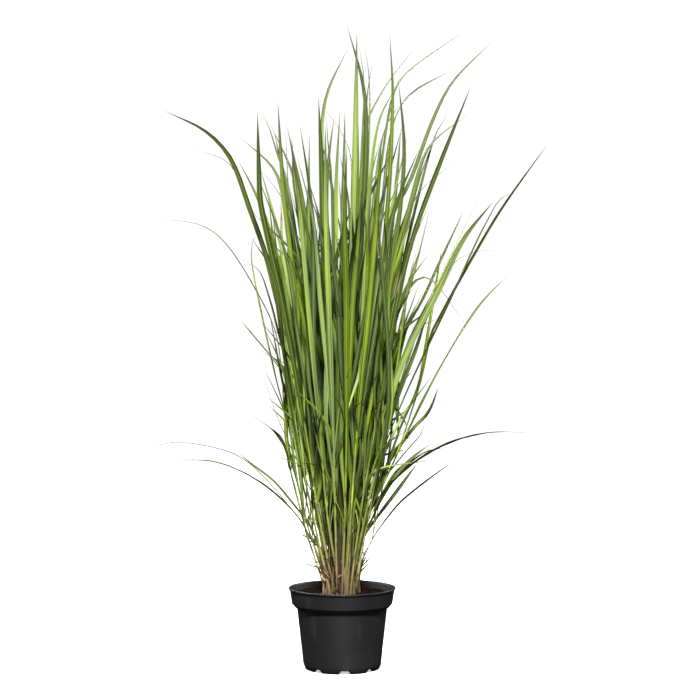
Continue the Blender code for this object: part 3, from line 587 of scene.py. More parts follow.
def mix_material(mix):
    """Damp peat and bark, nearly black with red-brown bits."""
    n = Nodes("potting_mix")
    fine = n.noise(420.0, 4.0, n.here())
    coarse = n.noise(95.0, 3.0, n.here())
    tone = n.attribute("tone")
    colour = n.mix(n.spread(coarse, 0.42, 0.66), tuple(mix.colour), tuple(c * 0.45 for c in mix.colour))
    colour = n.mix(n.times(n.spread(fine, 0.58, 0.72), 0.55), colour, tuple(mix.bark))
    colour = n.mix(n.spread(tone, 0.62, 1.0, 0.0, 0.85), colour, tuple(mix.bark))
    rough = n.spread(fine, 0.3, 0.7, 0.78, 1.0)
    normal = n.bump(n.plus(fine, coarse), 0.7, 0.0006)
    return n.finish(n.principled(colour, rough, normal, Specular_IOR_Level=0.03))


def mix_height(x, y, lumps):
    """Height of the mix's surface, with lumps and a slight mound round the crown."""
    place = Vector((x, y, 0.0))
    lump = noise.fractal(place * 90.0, 0.9, 2.1, 4)
    broad = noise.noise(place * 22.0)
    mound = MOUND_HEIGHT * math.exp(-(x * x + y * y) / (2 * MOUND_SPREAD ** 2))
    return MIX_HIGH.z - SURFACE_DROP + lumps * (0.75 * lump + 0.5 * broad) + mound


def mix_body(mix):
    """Lumpy top surface, running down inside the wall to a flat underside."""
    rings, sectors = 34, 132

    def bearings(ring):
        return [2 * math.pi * (sector + 0.5 * (ring % 2)) / sectors for sector in range(sectors)]

    rim = (MIX_HIGH.x - MIX_LOW.x) / 2 - 0.0004
    bm = bmesh.new()
    centre = bm.verts.new((0.0, 0.0, mix_height(0.0, 0.0, mix.lumps)))
    loops = []
    for ring in range(1, rings + 1):
        radius = rim * (ring / rings) ** 0.85
        loop = []
        for angle in bearings(ring):
            x, y = radius * math.cos(angle), radius * math.sin(angle)
            loop.append(bm.verts.new((x, y, mix_height(x, y, mix.lumps))))
        loops.append(loop)
    pot = bpy.context.scene.grass_pot
    for radius, z in ((pot.band_foot_radius - pot.wall - 0.0006, pot.band_foot + 0.003),
                      (pot.wall_top_radius - pot.wall - 0.0006, pot.wall_top + 0.0008),
                      (pot.wall_foot_radius - pot.wall - 0.0012, MIX_LOW.z + 0.0003)):
        loops.append([bm.verts.new((radius * math.cos(angle), radius * math.sin(angle), z))
                      for angle in bearings(len(loops))])
    for sector in range(sectors):
        after = (sector + 1) % sectors
        bm.faces.new((centre, loops[0][sector], loops[0][after]))
        for low, high in zip(loops, loops[1:]):
            bm.faces.new((low[sector], high[sector], high[after], low[after]))
    bm.faces.new(loops[-1])
    bmesh.ops.recalc_face_normals(bm, faces=bm.faces[:])
    return mesh_from_bmesh("potting_mix_body", bm, 60)


def crumb_points(rng, count, inner, outer):
    """Even random places on the mix's surface."""
    radius = np.sqrt(rng.uniform(inner ** 2, outer ** 2, count))
    angle = rng.uniform(0, 2 * math.pi, count)
    return np.stack((radius * np.cos(angle), radius * np.sin(angle)), axis=1)


def add_tone(mesh, tones):
    """Store one number per vertex under the name tone."""
    layer = mesh.attributes.new("tone", "FLOAT", "POINT")
    layer.data.foreach_set("value", np.asarray(tones, np.float32))


def scattered_crumbs(mix):
    """Crumbs, flat bark chips and fibres lying on the mix."""
    rng = np.random.default_rng(mix.seed)
    rim = (MIX_HIGH.x - MIX_LOW.x) / 2 - 0.004
    bm = bmesh.new()
    tones = []

    def lay(verts, x, y, size, stretch, lift, tone):
        spin = Euler(rng.uniform(0, 2 * math.pi, 3) if stretch[2] > 0.5 else
                     (rng.normal(0, 0.25), rng.normal(0, 0.25), rng.uniform(0, 2 * math.pi))).to_matrix()
        centre = Vector((x, y, mix_height(x, y, mix.lumps) + lift * size))
        for vert in verts:
            jag = 1 + 0.28 * noise.noise(vert.co * 2.3 + centre * 900)
            shaped = Vector(c * s for c, s in zip(vert.co, stretch)) * (size * jag)
            vert.co = centre + spin @ shaped
        tones.extend([tone] * len(verts))

    for x, y in crumb_points(rng, mix.crumbs, 0.0, rim):
        size = float(rng.lognormal(math.log(CRUMB), 0.42))
        made = bmesh.ops.create_icosphere(bm, subdivisions=1, radius=1.0)
        stretch = (1, rng.uniform(0.6, 1), rng.uniform(0.55, 0.9))
        lay(made["verts"], x, y, min(size, BIGGEST_CRUMB), stretch, 0.25, rng.uniform(0, 1) ** 1.5)
    for x, y in crumb_points(rng, mix.chips, 0.010, rim):
        size = float(rng.uniform(0.0016, 0.0042))
        made = bmesh.ops.create_icosphere(bm, subdivisions=1, radius=1.0)
        lay(made["verts"], x, y, size, (1, rng.uniform(0.3, 0.6), 0.18), 0.20, rng.uniform(0.5, 1))
    add_fibres(bm, rng, mix, rim, tones)
    mesh = mesh_from_bmesh("potting_mix_crumbs", bm)
    add_tone(mesh, tones)
    return mesh


def add_fibres(bm, rng, mix, rim, tones):
    """Thin bent fibres, three-sided, lying on the crumbs."""
    corners = (0.0, 2.094, 4.189)
    for x, y in crumb_points(rng, mix.fibres, 0.012, rim - 0.006):
        length = float(rng.uniform(0.005, 0.016))
        bearing = float(rng.uniform(0, 2 * math.pi))
        thick = float(rng.uniform(0.00010, 0.00022))
        bend = float(rng.normal(0, 1.1))
        loops = []
        px, py = x, y
        for step in range(FIBRE_STEPS + 1):
            share = step / FIBRE_STEPS
            heading = bearing + bend * share
            px += length / FIBRE_STEPS * math.cos(heading)
            py += length / FIBRE_STEPS * math.sin(heading)
            lift = mix_height(px, py, mix.lumps) + 0.0007 + 0.0012 * math.sin(math.pi * share)
            sideways = Vector((-math.sin(heading), math.cos(heading), 0))
            radius = thick * (1.0 if 0 < step < FIBRE_STEPS else 0.4)
            loops.append([bm.verts.new(Vector((px, py, lift)) + sideways * (radius * math.cos(a))
                                       + Vector((0, 0, radius * math.sin(a)))) for a in corners])
        for low, high in zip(loops, loops[1:]):
            for i in range(3):
                bm.faces.new((low[i], low[(i + 1) % 3], high[(i + 1) % 3], high[i]))
        bm.faces.new(loops[0][::-1])
        bm.faces.new(loops[-1])
        tones.extend([FIBRE_TONE] * len(corners) * len(loops))


class GRASS_OT_mix(bpy.types.Operator):
    """Fill the pot with potting mix and scatter crumbs, bark and fibres on it"""

    bl_idname = "grass.mix"
    bl_label = "Potting Mix"

    def execute(self, context):
        mix = context.scene.grass_mix
        mat = mix_material(mix)
        body = mix_body(mix)
        add_tone(body, np.zeros(len(body.vertices)))
        add_piece("potting_mix_body", body, [mat], "potting_mix", "potting_mix")
        add_piece("potting_mix_crumbs", scattered_crumbs(mix), [mat], "potting_mix")
        return {"FINISHED"}


# ------------------------------------------------------------------- reading the shoots

def welded(node):
    """A node's corner points and how they join, with split vertices put back together."""
    bm = bmesh.new()
    bm.from_mesh(frame["nodes"][node].data)
    bmesh.ops.remove_doubles(bm, verts=bm.verts[:], dist=MERGE)
    bm.verts.ensure_lookup_table()
    points = np.array([vert.co for vert in bm.verts])
    joined = [{edge.other_vert(vert).index for edge in vert.link_edges} for vert in bm.verts]
    bm.free()
    return points, joined


def outside(group, joined, seen):
    """Neighbours of a group of points that haven't been taken yet."""
    near = set().union(*(joined[index] for index in group))
    return near - set(group) - seen


def read_shoot(node):
    """A shoot's culm and blades as runs of section loops, each from foot to tip."""
    points, joined = welded(node)
    caps = []
    for index in range(len(points)):
        close = np.nonzero(np.linalg.norm(points - points[index], axis=1) < TIP_REACH / 2)[0]
        if len(close) == 4 and len(outside(close, joined, set())) == 4 and tuple(close) not in caps:
            caps.append(tuple(close))
    blades = []
    taken = set()
    for cap in caps:
        loops = [list(cap)]
        seen = set(cap)
        ahead = outside(cap, joined, seen)
        while len(ahead) == 4:
            loops.append(sorted(ahead))
            seen |= ahead
            ahead = outside(loops[-1], joined, seen)
        leads = len(ahead) == 6
        blades.append((leads, [points[loop] for loop in reversed(loops)]))
        for loop in loops if leads else loops[:-1]:
            taken |= set(loop)
    rest = sorted(set(range(len(points))) - taken, key=lambda index: points[index][2])
    levels = {}
    for index in rest:
        levels.setdefault(round(points[index][2] / LEVEL), []).append(index)
    culm = [points[level] for level in levels.values() if len(level) == 6]
    if sum(leads for leads, _ in blades) != 1 or len(culm) < 3:
        raise RuntimeError(f"{node} isn't a culm with one leading blade")
    blades.sort(key=lambda blade: not blade[0])
    return culm, [loops for _, loops in blades]


def across_of(loop):
    """Direction across the widest part of a four-point section."""
    gaps = loop[:, None, :] - loop[None, :, :]
    first, second = np.unravel_index(np.argmax((gaps ** 2).sum(axis=2)), (4, 4))
    across = loop[first] - loop[second]
    return across / max(np.linalg.norm(across), 1e-9)


def width_of(loop):
    """Width of a four-point section."""
    gaps = loop[:, None, :] - loop[None, :, :]
    return float(np.sqrt((gaps ** 2).sum(axis=2)).max())


# ------------------------------------------------------------------------ leaves and culms

# The clump's outline as seen from the front: height, half width and middle, in metres.
OUTLINE = np.array((
    (0.134, 0.030, 0.000), (0.190, 0.041, 0.000), (0.250, 0.053, 0.000), (0.300, 0.064, 0.001),
    (0.370, 0.078, 0.002), (0.440, 0.090, 0.004), (0.511, 0.101, 0.005), (0.582, 0.111, 0.006),
    (0.652, 0.119, 0.007), (0.723, 0.125, 0.008), (0.794, 0.129, 0.008), (0.865, 0.131, 0.006),
    (1.150, 0.135, 0.004)))

# Single blades that stand out of the clump, as seen from the front: width and tip depth, how dry from
# 0 to 1, then (x, z) along the blade from its foot on a culm, all lengths in millimetres.
STRAYS = (
    (5, -30, 0.1, ((12, 300), (22, 600), (34, 900), (38, 1050), (28, 1110))),
    (6, 40, 0.2, ((30, 330), (70, 560), (110, 760), (135, 860), (148, 900), (157, 925))),
    (6, 90, 0.2, ((30, 340), (80, 580), (126, 800), (165, 945), (175, 963), (187, 984))),
    (4, -60, 0.2, ((40, 300), (110, 480), (190, 650), (255, 790), (285, 836), (315, 842))),
    (5, 60, 0.2, ((-35, 300), (-80, 470), (-112, 590), (-130, 659), (-149, 707), (-173, 721))),
    (4, -30, 0.2, ((-28, 250), (-62, 360), (-100, 450), (-138, 531))),
    (4, 60, 0.3, ((-30, 260), (-72, 350), (-114, 443), (-141, 524))),
    (4, 20, 0.2, ((34, 230), (78, 318), (120, 364), (154, 386), (202, 390))),
    (3, -20, 0.5, ((26, 152), (36, 184), (45, 203))),
    (4, -40, 0.2, ((34, 240), (66, 300), (92, 345), (116, 369))),
    (4, 30, 0.2, ((36, 320), (82, 440), (118, 550), (140, 605), (170, 620))),
    (4, 40, 0.2, ((-30, 210), (-62, 258), (-95, 300), (-112, 320))),
    (5, -120, 0.1, ((-10, 300), (-14, 600), (-20, 880), (-25, 930), (-28, 980))),
    (5, -50, 0.3, ((-25, 172), (-40, 215), (-60, 260), (-59, 270), (-45, 250))),
    (3, -25, 0.9, ((-26, 187), (-40, 188), (-59, 186))),
    (3, -25, 0.9, ((-27, 171), (-38, 165), (-49, 160))),
)
# How deep the clump is behind and in front of its middle: height and half depth.
DEPTH_GROWTH = np.array(((0.134, 0.030), (0.230, 0.050), (0.370, 0.088), (0.550, 0.135),
                         (0.750, 0.205), (0.950, 0.265)))
EYE = (0.0103, -3.2, 0.600)     # where the front of the clump is seen from

WITHERED = 4.0                  # a dryness that withers the whole blade
SHEATH_MOUTH = 0.004            # from a blade's foot up to its sheath's mouth
LEADER_FOOT = 0.034             # from the leading blade's first section down to its foot
CLASP_TOP = 0.018               # from a node's blade's foot up to where it leaves the culm
LEAF_TOP = 0.022                # the same for a further blade
LOWEST_LEAF, HIGHEST_LEAF = 0.185, 0.46
LOW_TIPS = (0.33, 0.48, 0.66)   # least, likeliest and greatest height of a low blade's tip
HIGH_TIPS = (0.52, 0.80, 1.00)
# Tones and their shares of all blades, for the two blades of each node and for the further ones.
OWN_TONES = ((0.16, 0.30, 0.38, 0.50, 0.92), (0.14, 0.28, 0.18, 0.08, 0.32))
FURTHER_TONES = ((0.22, 0.38, 0.52, 0.68, 0.92), (0.18, 0.32, 0.14, 0.08, 0.28))
TALL_TIP = 0.60                 # a leader whose tip is above this goes on upright from its culm
UP = np.array((0.0, 0.0, 1.0))


def outline_at(z):
    """Half width, middle and half depth of the clump at a height seen from the front."""
    half, middle = (np.interp(z, OUTLINE[:, 0], OUTLINE[:, column]) for column in (1, 2))
    return half, middle, np.interp(z, DEPTH_GROWTH[:, 0], DEPTH_GROWTH[:, 1])


def from_front(x, depth, z):
    """The place at a depth that is seen from the front at x and z in the pot's middle plane."""
    scale = (depth - EYE[1]) / -EYE[1]
    return np.array((EYE[0] + (x - EYE[0]) * scale, depth, EYE[2] + (z - EYE[2]) * scale))


def fan_point(u, v, z):
    """A place in the clump: u across and v in depth run from -1 to 1, z is as seen from the front."""
    half, middle, deep = outline_at(z)
    return from_front(middle + u * half, v * deep, z)


def fan_place(point):
    """The (u, v) of a point in the clump."""
    scale = (point[1] - EYE[1]) / -EYE[1]
    half, middle, deep = outline_at(EYE[2] + (point[2] - EYE[2]) / scale)
    return (EYE[0] + (point[0] - EYE[0]) / scale - middle) / half, point[1] / deep


class Batch:
    """Lofted parts gathered into one mesh, with a UV column and a few numbers for each."""

    def __init__(self, columns):
        self.columns = columns
        self.column = 0
        self.count = 0
        self.points, self.faces, self.uvs, self.kinds = [], [], [], []
        # deep: how far in towards the clump's core a point lies, drawn as painted shade by the materials
        self.values = {"tone": [], "along": [], "across": [], "dry": [], "under": [], "deep": []}

    def loft(self, loops, kind, across, around, run, **values):
        """Skin loops (steps x corners x 3) and close both ends; around has UV u at each corner."""
        steps, corners, _ = loops.shape
        left = self.column / self.columns
        edges = [left + 0.94 / self.columns * share for share in around]
        base = self.count
        self.points.append(loops.reshape(-1, 3))
        self.values["across"].append(np.tile(across, steps))
        self.values["along"].append(np.repeat(run, corners))
        for name in ("tone", "dry"):
            self.values[name].append(np.full(steps * corners, values.get(name, 0.0)))
        self.values["under"].append(np.tile(values.get("under", np.zeros(corners)), steps))
        self.values["deep"].append(np.repeat(values.get("deep", np.zeros(steps)), corners))
        tall = 0.01 + 0.98 * run * values.get("share", 1.0)
        for low in range(steps - 1):
            for corner in range(corners):
                after = (corner + 1) % corners
                self.faces.append((base + low * corners + corner, base + low * corners + after,
                                   base + (low + 1) * corners + after, base + (low + 1) * corners + corner))
                start, end = edges[corner], edges[corner + 1]
                self.uvs.extend(((start, tall[low]), (end, tall[low]), (end, tall[low + 1]),
                                 (start, tall[low + 1])))
                self.kinds.append(kind)
        for row, order in ((0, range(corners - 1, -1, -1)), (steps - 1, range(corners))):
            self.faces.append(tuple(base + row * corners + corner for corner in order))
            self.uvs.extend((edges[corner], tall[row]) for corner in order)
            self.kinds.append(kind)
        self.count += steps * corners
        self.column += 1

    def mesh(self, name):
        """The finished mesh, smooth, with its attributes and UV map."""
        mesh = bpy.data.meshes.new(name)
        mesh.from_pydata(np.concatenate(self.points).tolist(), [], self.faces)
        for key, parts in self.values.items():
            layer = mesh.attributes.new(key, "FLOAT", "POINT")
            layer.data.foreach_set("value", np.concatenate(parts).astype(np.float32))
        uv = mesh.uv_layers.new(name="OFBake")
        uv.data.foreach_set("uv", np.asarray(self.uvs, np.float32).ravel())
        mesh.polygons.foreach_set("material_index", self.kinds)
        mesh.shade_smooth()
        mesh.set_sharp_from_angle(angle=math.radians(60))
        return mesh


BLADE_ACROSS = np.array((-1.0, -0.5, 0.0, 0.5, 1.0, 0.5, 0.0, -0.5))
BLADE_UNDER = np.array((0.0, 0.0, 0.0, 0.0, 0.5, 1.0, 1.0, 1.0))
BLADE_AROUND = (0.0, 0.12, 0.24, 0.36, 0.48, 0.64, 0.76, 0.88, 1.0)
UNDER_THICKNESS = (1.0, 0.55)   # of the midrib's thickness, at the midrib and half way out
CULM_CORNERS = 10
LEAF, CULM = 0, 1               # material slots


def turned_to(way, before, wanted, limit):
    """The direction before, carried on and turned about the way towards the wanted one, up to a limit."""
    carried = before - way * before.dot(way)
    carried /= max(np.linalg.norm(carried), 1e-9)
    square = np.cross(way, carried)
    if wanted.dot(carried) < 0:
        wanted = -wanted
    angle = math.atan2(wanted.dot(square), wanted.dot(carried))
    angle = max(-limit, min(limit, angle))
    return carried * math.cos(angle) + square * math.sin(angle)


def blade_run(steps):
    """Shares of a blade's length at its steps, a little closer together at the foot and tip."""
    run = np.linspace(0.0, 1.0, steps)
    run = 0.82 * run + 0.18 * smooth_step(run)
    return np.concatenate(([0.0], 1.0 - (1.0 - run[1:]) ** 1.12))


def blade_frame(spec, run, total, ways):
    """Directions across a blade and up from its face, turned step by step to how it wants to lie."""
    now = np.cross(ways[0], spec["out"])
    now /= max(np.linalg.norm(now), 1e-9)
    wanted = spec["wanted"](run, ways)
    limit = math.radians(spec.get("turning", 11.0))
    across = np.zeros_like(ways)
    for step, way in enumerate(ways):
        loose = smooth_step((run[step] * total - 0.012) / 0.05)
        now = turned_to(way, now, wanted[step], limit * loose)
        across[step] = now
    inward = unit(np.cross(across, ways))
    if inward[0].dot(spec["out"]) > 0:
        inward = -inward
    twist = (spec["twist"] * smooth_step((run - 0.12) / 0.9))[:, None]
    return across * np.cos(twist) + inward * np.sin(twist), inward * np.cos(twist) - across * np.sin(twist)


def blade_half(spec, run):
    """Half width of a blade: narrow at the foot, full along the middle, drawn out to the tip."""
    swell = spec["foot"] + (1 - spec["foot"]) * smooth_step(run / 0.50)
    taper = 1.0 - np.clip((run - spec["taper"]) / (1.0 - spec["taper"]), 0, 1) ** 2.1
    return np.maximum(0.5 * spec["width"] * swell * taper, 0.00050 * (1.25 - run))


def add_blade(batch, leaf, spec, longest):
    """One blade: a keeled strip that clasps its culm at the foot and draws out to a fine tip."""
    total = lengths(spec["curve"])[-1]
    run = blade_run(spec.get("rings", leaf.rings))
    centre = along_curve(spec["curve"], run * total)
    across, inward = blade_frame(spec, run, total, unit(np.gradient(centre, axis=0)))
    half = blade_half(spec, run)
    clasp = 1.0 - smooth_step((run * total - 0.004) / 0.034)
    wrap = np.minimum(2.5, half / spec["radius"]) * clasp + 0.12
    fold = spec["fold"] * (1.0 - 0.5 * run)
    thick = leaf.midrib * (0.35 + 0.65 * np.minimum(1.0, half / 0.003)) * (1 - 0.55 * run)
    wave = spec["wave"] * np.sin(2 * math.pi * (run * total / 0.045 + spec["phase"])) * (1 - clasp)
    loops = np.zeros((len(run), 8, 3))
    for corner, t in enumerate(BLADE_ACROSS):
        round_u, round_v = half / wrap * np.sin(t * wrap), half / wrap * (1 - np.cos(t * wrap))
        flat_u, flat_v = half * t * np.cos(fold), half * abs(t) * np.sin(fold)
        u = round_u * clasp + flat_u * (1 - clasp)
        v = round_v * clasp + flat_v * (1 - clasp) + wave * t * abs(t) * half / 0.004
        if BLADE_UNDER[corner] == 1.0:
            v = v - thick * UNDER_THICKNESS[int(abs(t) * 2)]
        loops[:, corner, :] = centre + across * u[:, None] + inward * v[:, None]
    # painted shade: blade steps nearer the clump's core are stored as deeper and drawn darker
    inner = np.array([1.0 - min(1.0, math.hypot(*fan_place(point)) / 0.86) for point in centre])
    batch.loft(loops, LEAF, BLADE_ACROSS, BLADE_AROUND, run, tone=spec["tone"], dry=spec["dry"],
               under=BLADE_UNDER, deep=inner * spec["hidden"], share=total / longest)


def add_culm(batch, path, radii, tone, longest):
    """A culm with its sheaths: a tube whose radius steps down at each sheath's mouth."""
    total = lengths(path)[-1]
    ways = unit(np.gradient(path, axis=0))
    loops = np.zeros((len(path), CULM_CORNERS, 3))
    across = unit(np.cross(ways, (0.0, 1.0, 0.0)))
    through = np.cross(across, ways)
    for corner in range(CULM_CORNERS):
        angle = 2 * math.pi * corner / CULM_CORNERS
        loops[:, corner, :] = path + (across * math.cos(angle) + through * math.sin(angle)) * radii[:, None]
    around = np.linspace(0.0, 1.0, CULM_CORNERS + 1)
    turn = np.linspace(-1.0, 1.0, CULM_CORNERS, endpoint=False)
    # painted shade: culm steps nearer the clump's core are stored as deeper and drawn darker
    inner = np.array([1.0 - min(1.0, math.hypot(*fan_place(point))) for point in path])
    batch.loft(loops, CULM, turn, around, lengths(path) / total, tone=tone, deep=inner,
               share=min(1.0, total / longest))


def level_mix(lean, turn):
    """Directions that a blade's width wants: level across its lean, turned towards the front by a share."""
    level = np.cross(lean, UP)

    def wanted(run, ways):
        flat = unit(level - ways * (ways @ level)[:, None])
        front = unit(np.array((1.0, 0.0, 0.0)) - ways * ways[:, :1])
        sign = np.sign((flat * front).sum(axis=1) + 1e-9)[:, None]
        return unit(flat * (1 - turn) + front * sign * turn)

    return wanted


def read_across(rings, skipped):
    """Directions taken from a node's own sections, spread over a blade's run."""
    directions = [across_of(loop) for loop in rings]
    for index in range(1, len(directions)):
        if directions[index].dot(directions[index - 1]) < 0:
            directions[index] = -directions[index]
    centres = np.array([loop.mean(axis=0) for loop in rings])
    at = lengths(centres)
    at = skipped + (1.0 - skipped) * at / at[-1]
    table = np.array(directions)

    def wanted(run, ways):
        picked = np.stack([np.interp(run, at, table[:, axis]) for axis in range(3)], axis=1)
        return unit(picked - ways * (picked * ways).sum(axis=1)[:, None])

    return wanted


def level_unit(vector, fallback=(1.0, 0.0, 0.0)):
    """The level part of a vector, as a unit vector."""
    flat = np.array((vector[0], vector[1], 0.0))
    size = np.linalg.norm(flat)
    return flat / size if size > 1e-6 else np.array(fallback)


def picked_tone(rng, tones, shares):
    """One of some tones, drawn by their shares of all blades."""
    return rng.choice(tones, p=shares)


def leaf_tone(rng, shade=0.0):
    """A number that picks a blade's green: 0 deep, through green and fresh, to 1 grey."""
    # shade is the chance of one of the darkest greens; further_blades raises it towards the clump's core as
    # painted shade
    if rng.random() < shade:
        return float(rng.uniform(0.0, 0.16))
    tone = picked_tone(rng, *FURTHER_TONES)
    return float(np.clip(tone + rng.normal(0, 0.05), 0.0, 1.0))


def leaf_spec(rng, leaf, curve, width, wanted, out, radius, **more):
    """Everything that one blade needs, with its small accidents."""
    spec = {
        "curve": curve, "width": width, "wanted": wanted, "out": out, "radius": radius,
        "tone": leaf_tone(rng, 0.16), "dry": float(rng.beta(1.2, 4.0)),
        "fold": leaf.fold * rng.uniform(0.5, 1.5), "twist": rng.normal(0, 0.45),
        "taper": rng.uniform(0.48, 0.62), "wave": rng.uniform(0.0, 0.00035),
        "foot": 0.36, "hidden": 1.0, "phase": rng.uniform(0, 1)}
    spec.update(more)
    return spec


def own_blades(rng, leaf, stem, radius_at, blades):
    """The leading blade and the side leaf that a node itself has."""
    specs = []
    for order, rings in enumerate(blades):
        leads = order == 0
        centres = [loop.mean(axis=0) for loop in rings]
        foot_z = centres[0][2] - (LEADER_FOOT if leads else SHEATH_MOUTH)
        foot = at_height(stem, foot_z)
        start = at_height(stem, foot_z + CLASP_TOP)
        if leads:
            out = level_unit(np.cross(across_of(rings[0]), UP))
            out = out if out[1] > 0 else -out
        else:
            out = level_unit(centres[1] - start)
            centres, rings = centres[1:], rings[1:]
        radius = radius_at(foot_z)
        curve = smooth_curve([foot + out * radius, start + out * (radius * 1.1)] + centres)
        width = max(width_of(loop) for loop in blades[order])
        tip = centres[-1]
        tone = float(picked_tone(rng, *OWN_TONES))
        if (tip[2] < 0.62 or tip[2] > 0.95) and math.hypot(tip[0], tip[1]) > 0.14:
            tone = float(rng.uniform(0.12, 0.26))
        specs.append(leaf_spec(rng, leaf, curve, width, read_across(rings, 0.08), out, radius, twist=0.0,
                               turning=16.0, dry=float(rng.beta(1.0, 4.0)), hidden=0.35,
                               taper=rng.uniform(0.60, 0.74), tone=tone))
    return specs


def stray_blade(rng, leaf, stem, radius_at, stray):
    """A blade that stands out of the clump, from its drawn route."""
    width, depth, dry, drawn = stray
    foot_z = drawn[0][1] / 1000
    foot = at_height(stem, foot_z)
    steps = lengths(np.array(drawn, float))
    route = [foot]
    for (x, z), share in zip(drawn[1:], steps[1:] / steps[-1]):
        y = foot[1] + (depth / 1000 - foot[1]) * share ** 1.2
        route.append(from_front(x / 1000, y, z / 1000))
    out = level_unit(route[-1] - foot)
    radius = radius_at(foot_z)
    route[0] = foot + out * radius
    wanted = level_mix(out, rng.uniform(0.3, 0.8))
    return leaf_spec(rng, leaf, smooth_curve(route), width / 1000, wanted, out, radius, dry=dry,
                     tone=float(rng.uniform(0.08, 0.24)), hidden=0.0, wave=0.0, taper=0.66)


def basal_stubs(rng, leaf, stem, radius_at):
    """Dead sheaths and cut leaf stubs about the foot of a culm."""
    specs = []
    for _ in range(int(rng.integers(1, 4))):
        foot_z = rng.uniform(CROWN_FOOT + 0.006, CROWN_FOOT + 0.062)
        foot = at_height(stem, foot_z)
        bearing = math.atan2(foot[1], foot[0] - EYE[0]) + rng.normal(0, 0.9)
        out = np.array((math.cos(bearing), math.sin(bearing), 0.0))
        long = float(rng.triangular(0.014, 0.028, 0.075))
        lean = rng.uniform(0.25, 1.15)
        reach = out * math.sin(lean) + UP * math.cos(lean)
        radius = radius_at(foot_z)
        start = foot + out * radius
        route = [start, start + UP * (0.35 * long) + out * 0.0008,
                 start + UP * (0.30 * long) + reach * 0.70 * long,
                 start + UP * (0.28 * long) + reach * long]
        width = rng.uniform(0.0026, 0.0050)
        wanted = level_mix(out, rng.uniform(0.0, 0.5))
        specs.append(leaf_spec(rng, leaf, smooth_curve(route), width, wanted, out, radius, foot=0.8,
                               taper=0.35, tone=rng.uniform(0.0, 1.0), dry=WITHERED,
                               twist=rng.normal(0, 0.8), rings=9))
    return specs


def spread_tip(rng, u, v, low):
    """Where a further blade of a culm at (u, v) ends: u, v and the height as seen from the front."""
    tip_z = float(rng.triangular(*(LOW_TIPS if low else HIGH_TIPS)))
    spread = 0.60 if low else 0.52
    u_tip = u * rng.uniform(0.9, 1.15) + rng.normal(0, spread)
    v_tip = v * rng.uniform(0.9, 1.15) + rng.normal(0, spread)
    hold = min(1.0, (1.25 if low else 0.98) / max(math.hypot(u_tip, v_tip), 1e-6))
    return u_tip * hold, v_tip * hold, tip_z


def swayed(rng, curve):
    """A curve with a slow sway laid over it, none at its foot."""
    along = lengths(curve)
    sway = rng.normal(0, 0.007, 3)
    along = along / along[-1]
    return curve + np.outer(np.sin(along * math.pi * rng.uniform(1.2, 2.6)) * smooth_step(along * 3), sway)


def further_blades(rng, leaf, stem, radius_at, top_z, count):
    """More blades of a culm, each from its own sheath, spreading as the clump does."""
    specs = []
    for order in range(count):
        share = (order + rng.uniform(0.1, 0.9)) / count
        low = share < 0.28
        foot_z = LOWEST_LEAF + (min(top_z + 0.13, HIGHEST_LEAF) - LOWEST_LEAF) * share
        foot = at_height(stem, foot_z)
        near = at_height(stem, foot_z + LEAF_TOP)
        u, v = np.clip(fan_place(foot), -1.0, 1.0)
        u_tip, v_tip, tip_z = spread_tip(rng, u, v, low)
        route = [foot]
        for part in (0.22, 0.48, 0.75, 1.0):
            z = foot_z + LEAF_TOP + (tip_z - foot_z - LEAF_TOP) * part
            ease = part ** 0.9
            route.append(fan_point(u + (u_tip - u) * ease, v + (v_tip - v) * ease, z))
        outward = level_unit(route[-1] - foot)
        bend = rng.uniform(0.0, 0.030) if rng.random() < 0.7 else rng.uniform(0.03, 0.07)
        route[-1] = route[-1] + outward * bend * 0.8 - UP * (0.35 * bend)
        out = level_unit(route[2] - near, tuple(outward))
        radius = radius_at(foot_z)
        route[0] = foot + out * radius
        route.insert(1, near + out * radius * 1.2)
        curve = swayed(rng, smooth_curve(route))
        width = leaf.width * float(rng.triangular(0.5, 1.0, 1.35)) * (0.66 if low else 1.0)
        # painted shade: blades whose tips end near the clump's core are more often given one of the darkest
        # greens
        shade = 0.75 * max(0.0, 1.0 - math.hypot(u_tip, v_tip) / 0.75)
        wanted = level_mix(outward, rng.uniform(0.10, 0.95))
        specs.append(leaf_spec(rng, leaf, curve, width, wanted, out, radius,
                               tone=leaf_tone(rng, 0.34 + 0.66 * shade)))
    return specs


def share_strays(stems):
    """Give each stray blade to the culm that passes nearest to its foot."""
    shared = [[] for _ in stems]
    for stray in STRAYS:
        x, z = (value / 1000 for value in stray[3][0])
        gaps = []
        for stem, given in zip(stems, shared):
            near = at_height(stem, z)
            short = max(0.0, z - stem[-1, 2])
            gaps.append(abs(near[0] - x) + 0.3 * abs(near[1] - stray[1] / 4000) + 4 * short
                        + 0.004 * len(given))
        shared[int(np.argmin(gaps))].append(stray)
    return shared


def stem_of(culm, blades, reach):
    """Centre line of a culm, carried on up inside its leading blade."""
    centres = [loop.mean(axis=0) for loop in culm] + [loop.mean(axis=0) for loop in blades[0]]
    dense = smooth_curve(centres, 16)
    rising = int(np.argmax(dense[:, 2])) + 1
    dense = dense[:rising]
    return dense[dense[:, 2] < reach]


def tiller_of(rng, stem):
    """A young culm that grew from the foot of another and stands more upright than it."""
    bearing = rng.uniform(0, 2 * math.pi)
    root = stem[0] + 0.0050 * np.array((math.cos(bearing), math.sin(bearing), 0.0))
    u, v = fan_place(root + UP * 0.012)
    u, v = u * 0.62 + rng.normal(0, 0.10), v * 0.80
    top_z = rng.uniform(0.30, 0.40)
    route = [root, root + UP * 0.016]
    route += [fan_point(u, v, z) for z in (0.215, 0.285, 0.350, 0.430)]
    dense = smooth_curve(route, 16)
    return dense[dense[:, 2] < top_z]


def culm_radii(stem, base_radius):
    """The radius of a culm at any height."""

    def radius_at(z):
        share = np.clip((z - CROWN_FOOT) / (stem[-1, 2] - CROWN_FOOT), 0.0, 1.0)
        return base_radius * (1.0 - 0.55 * share)

    return radius_at


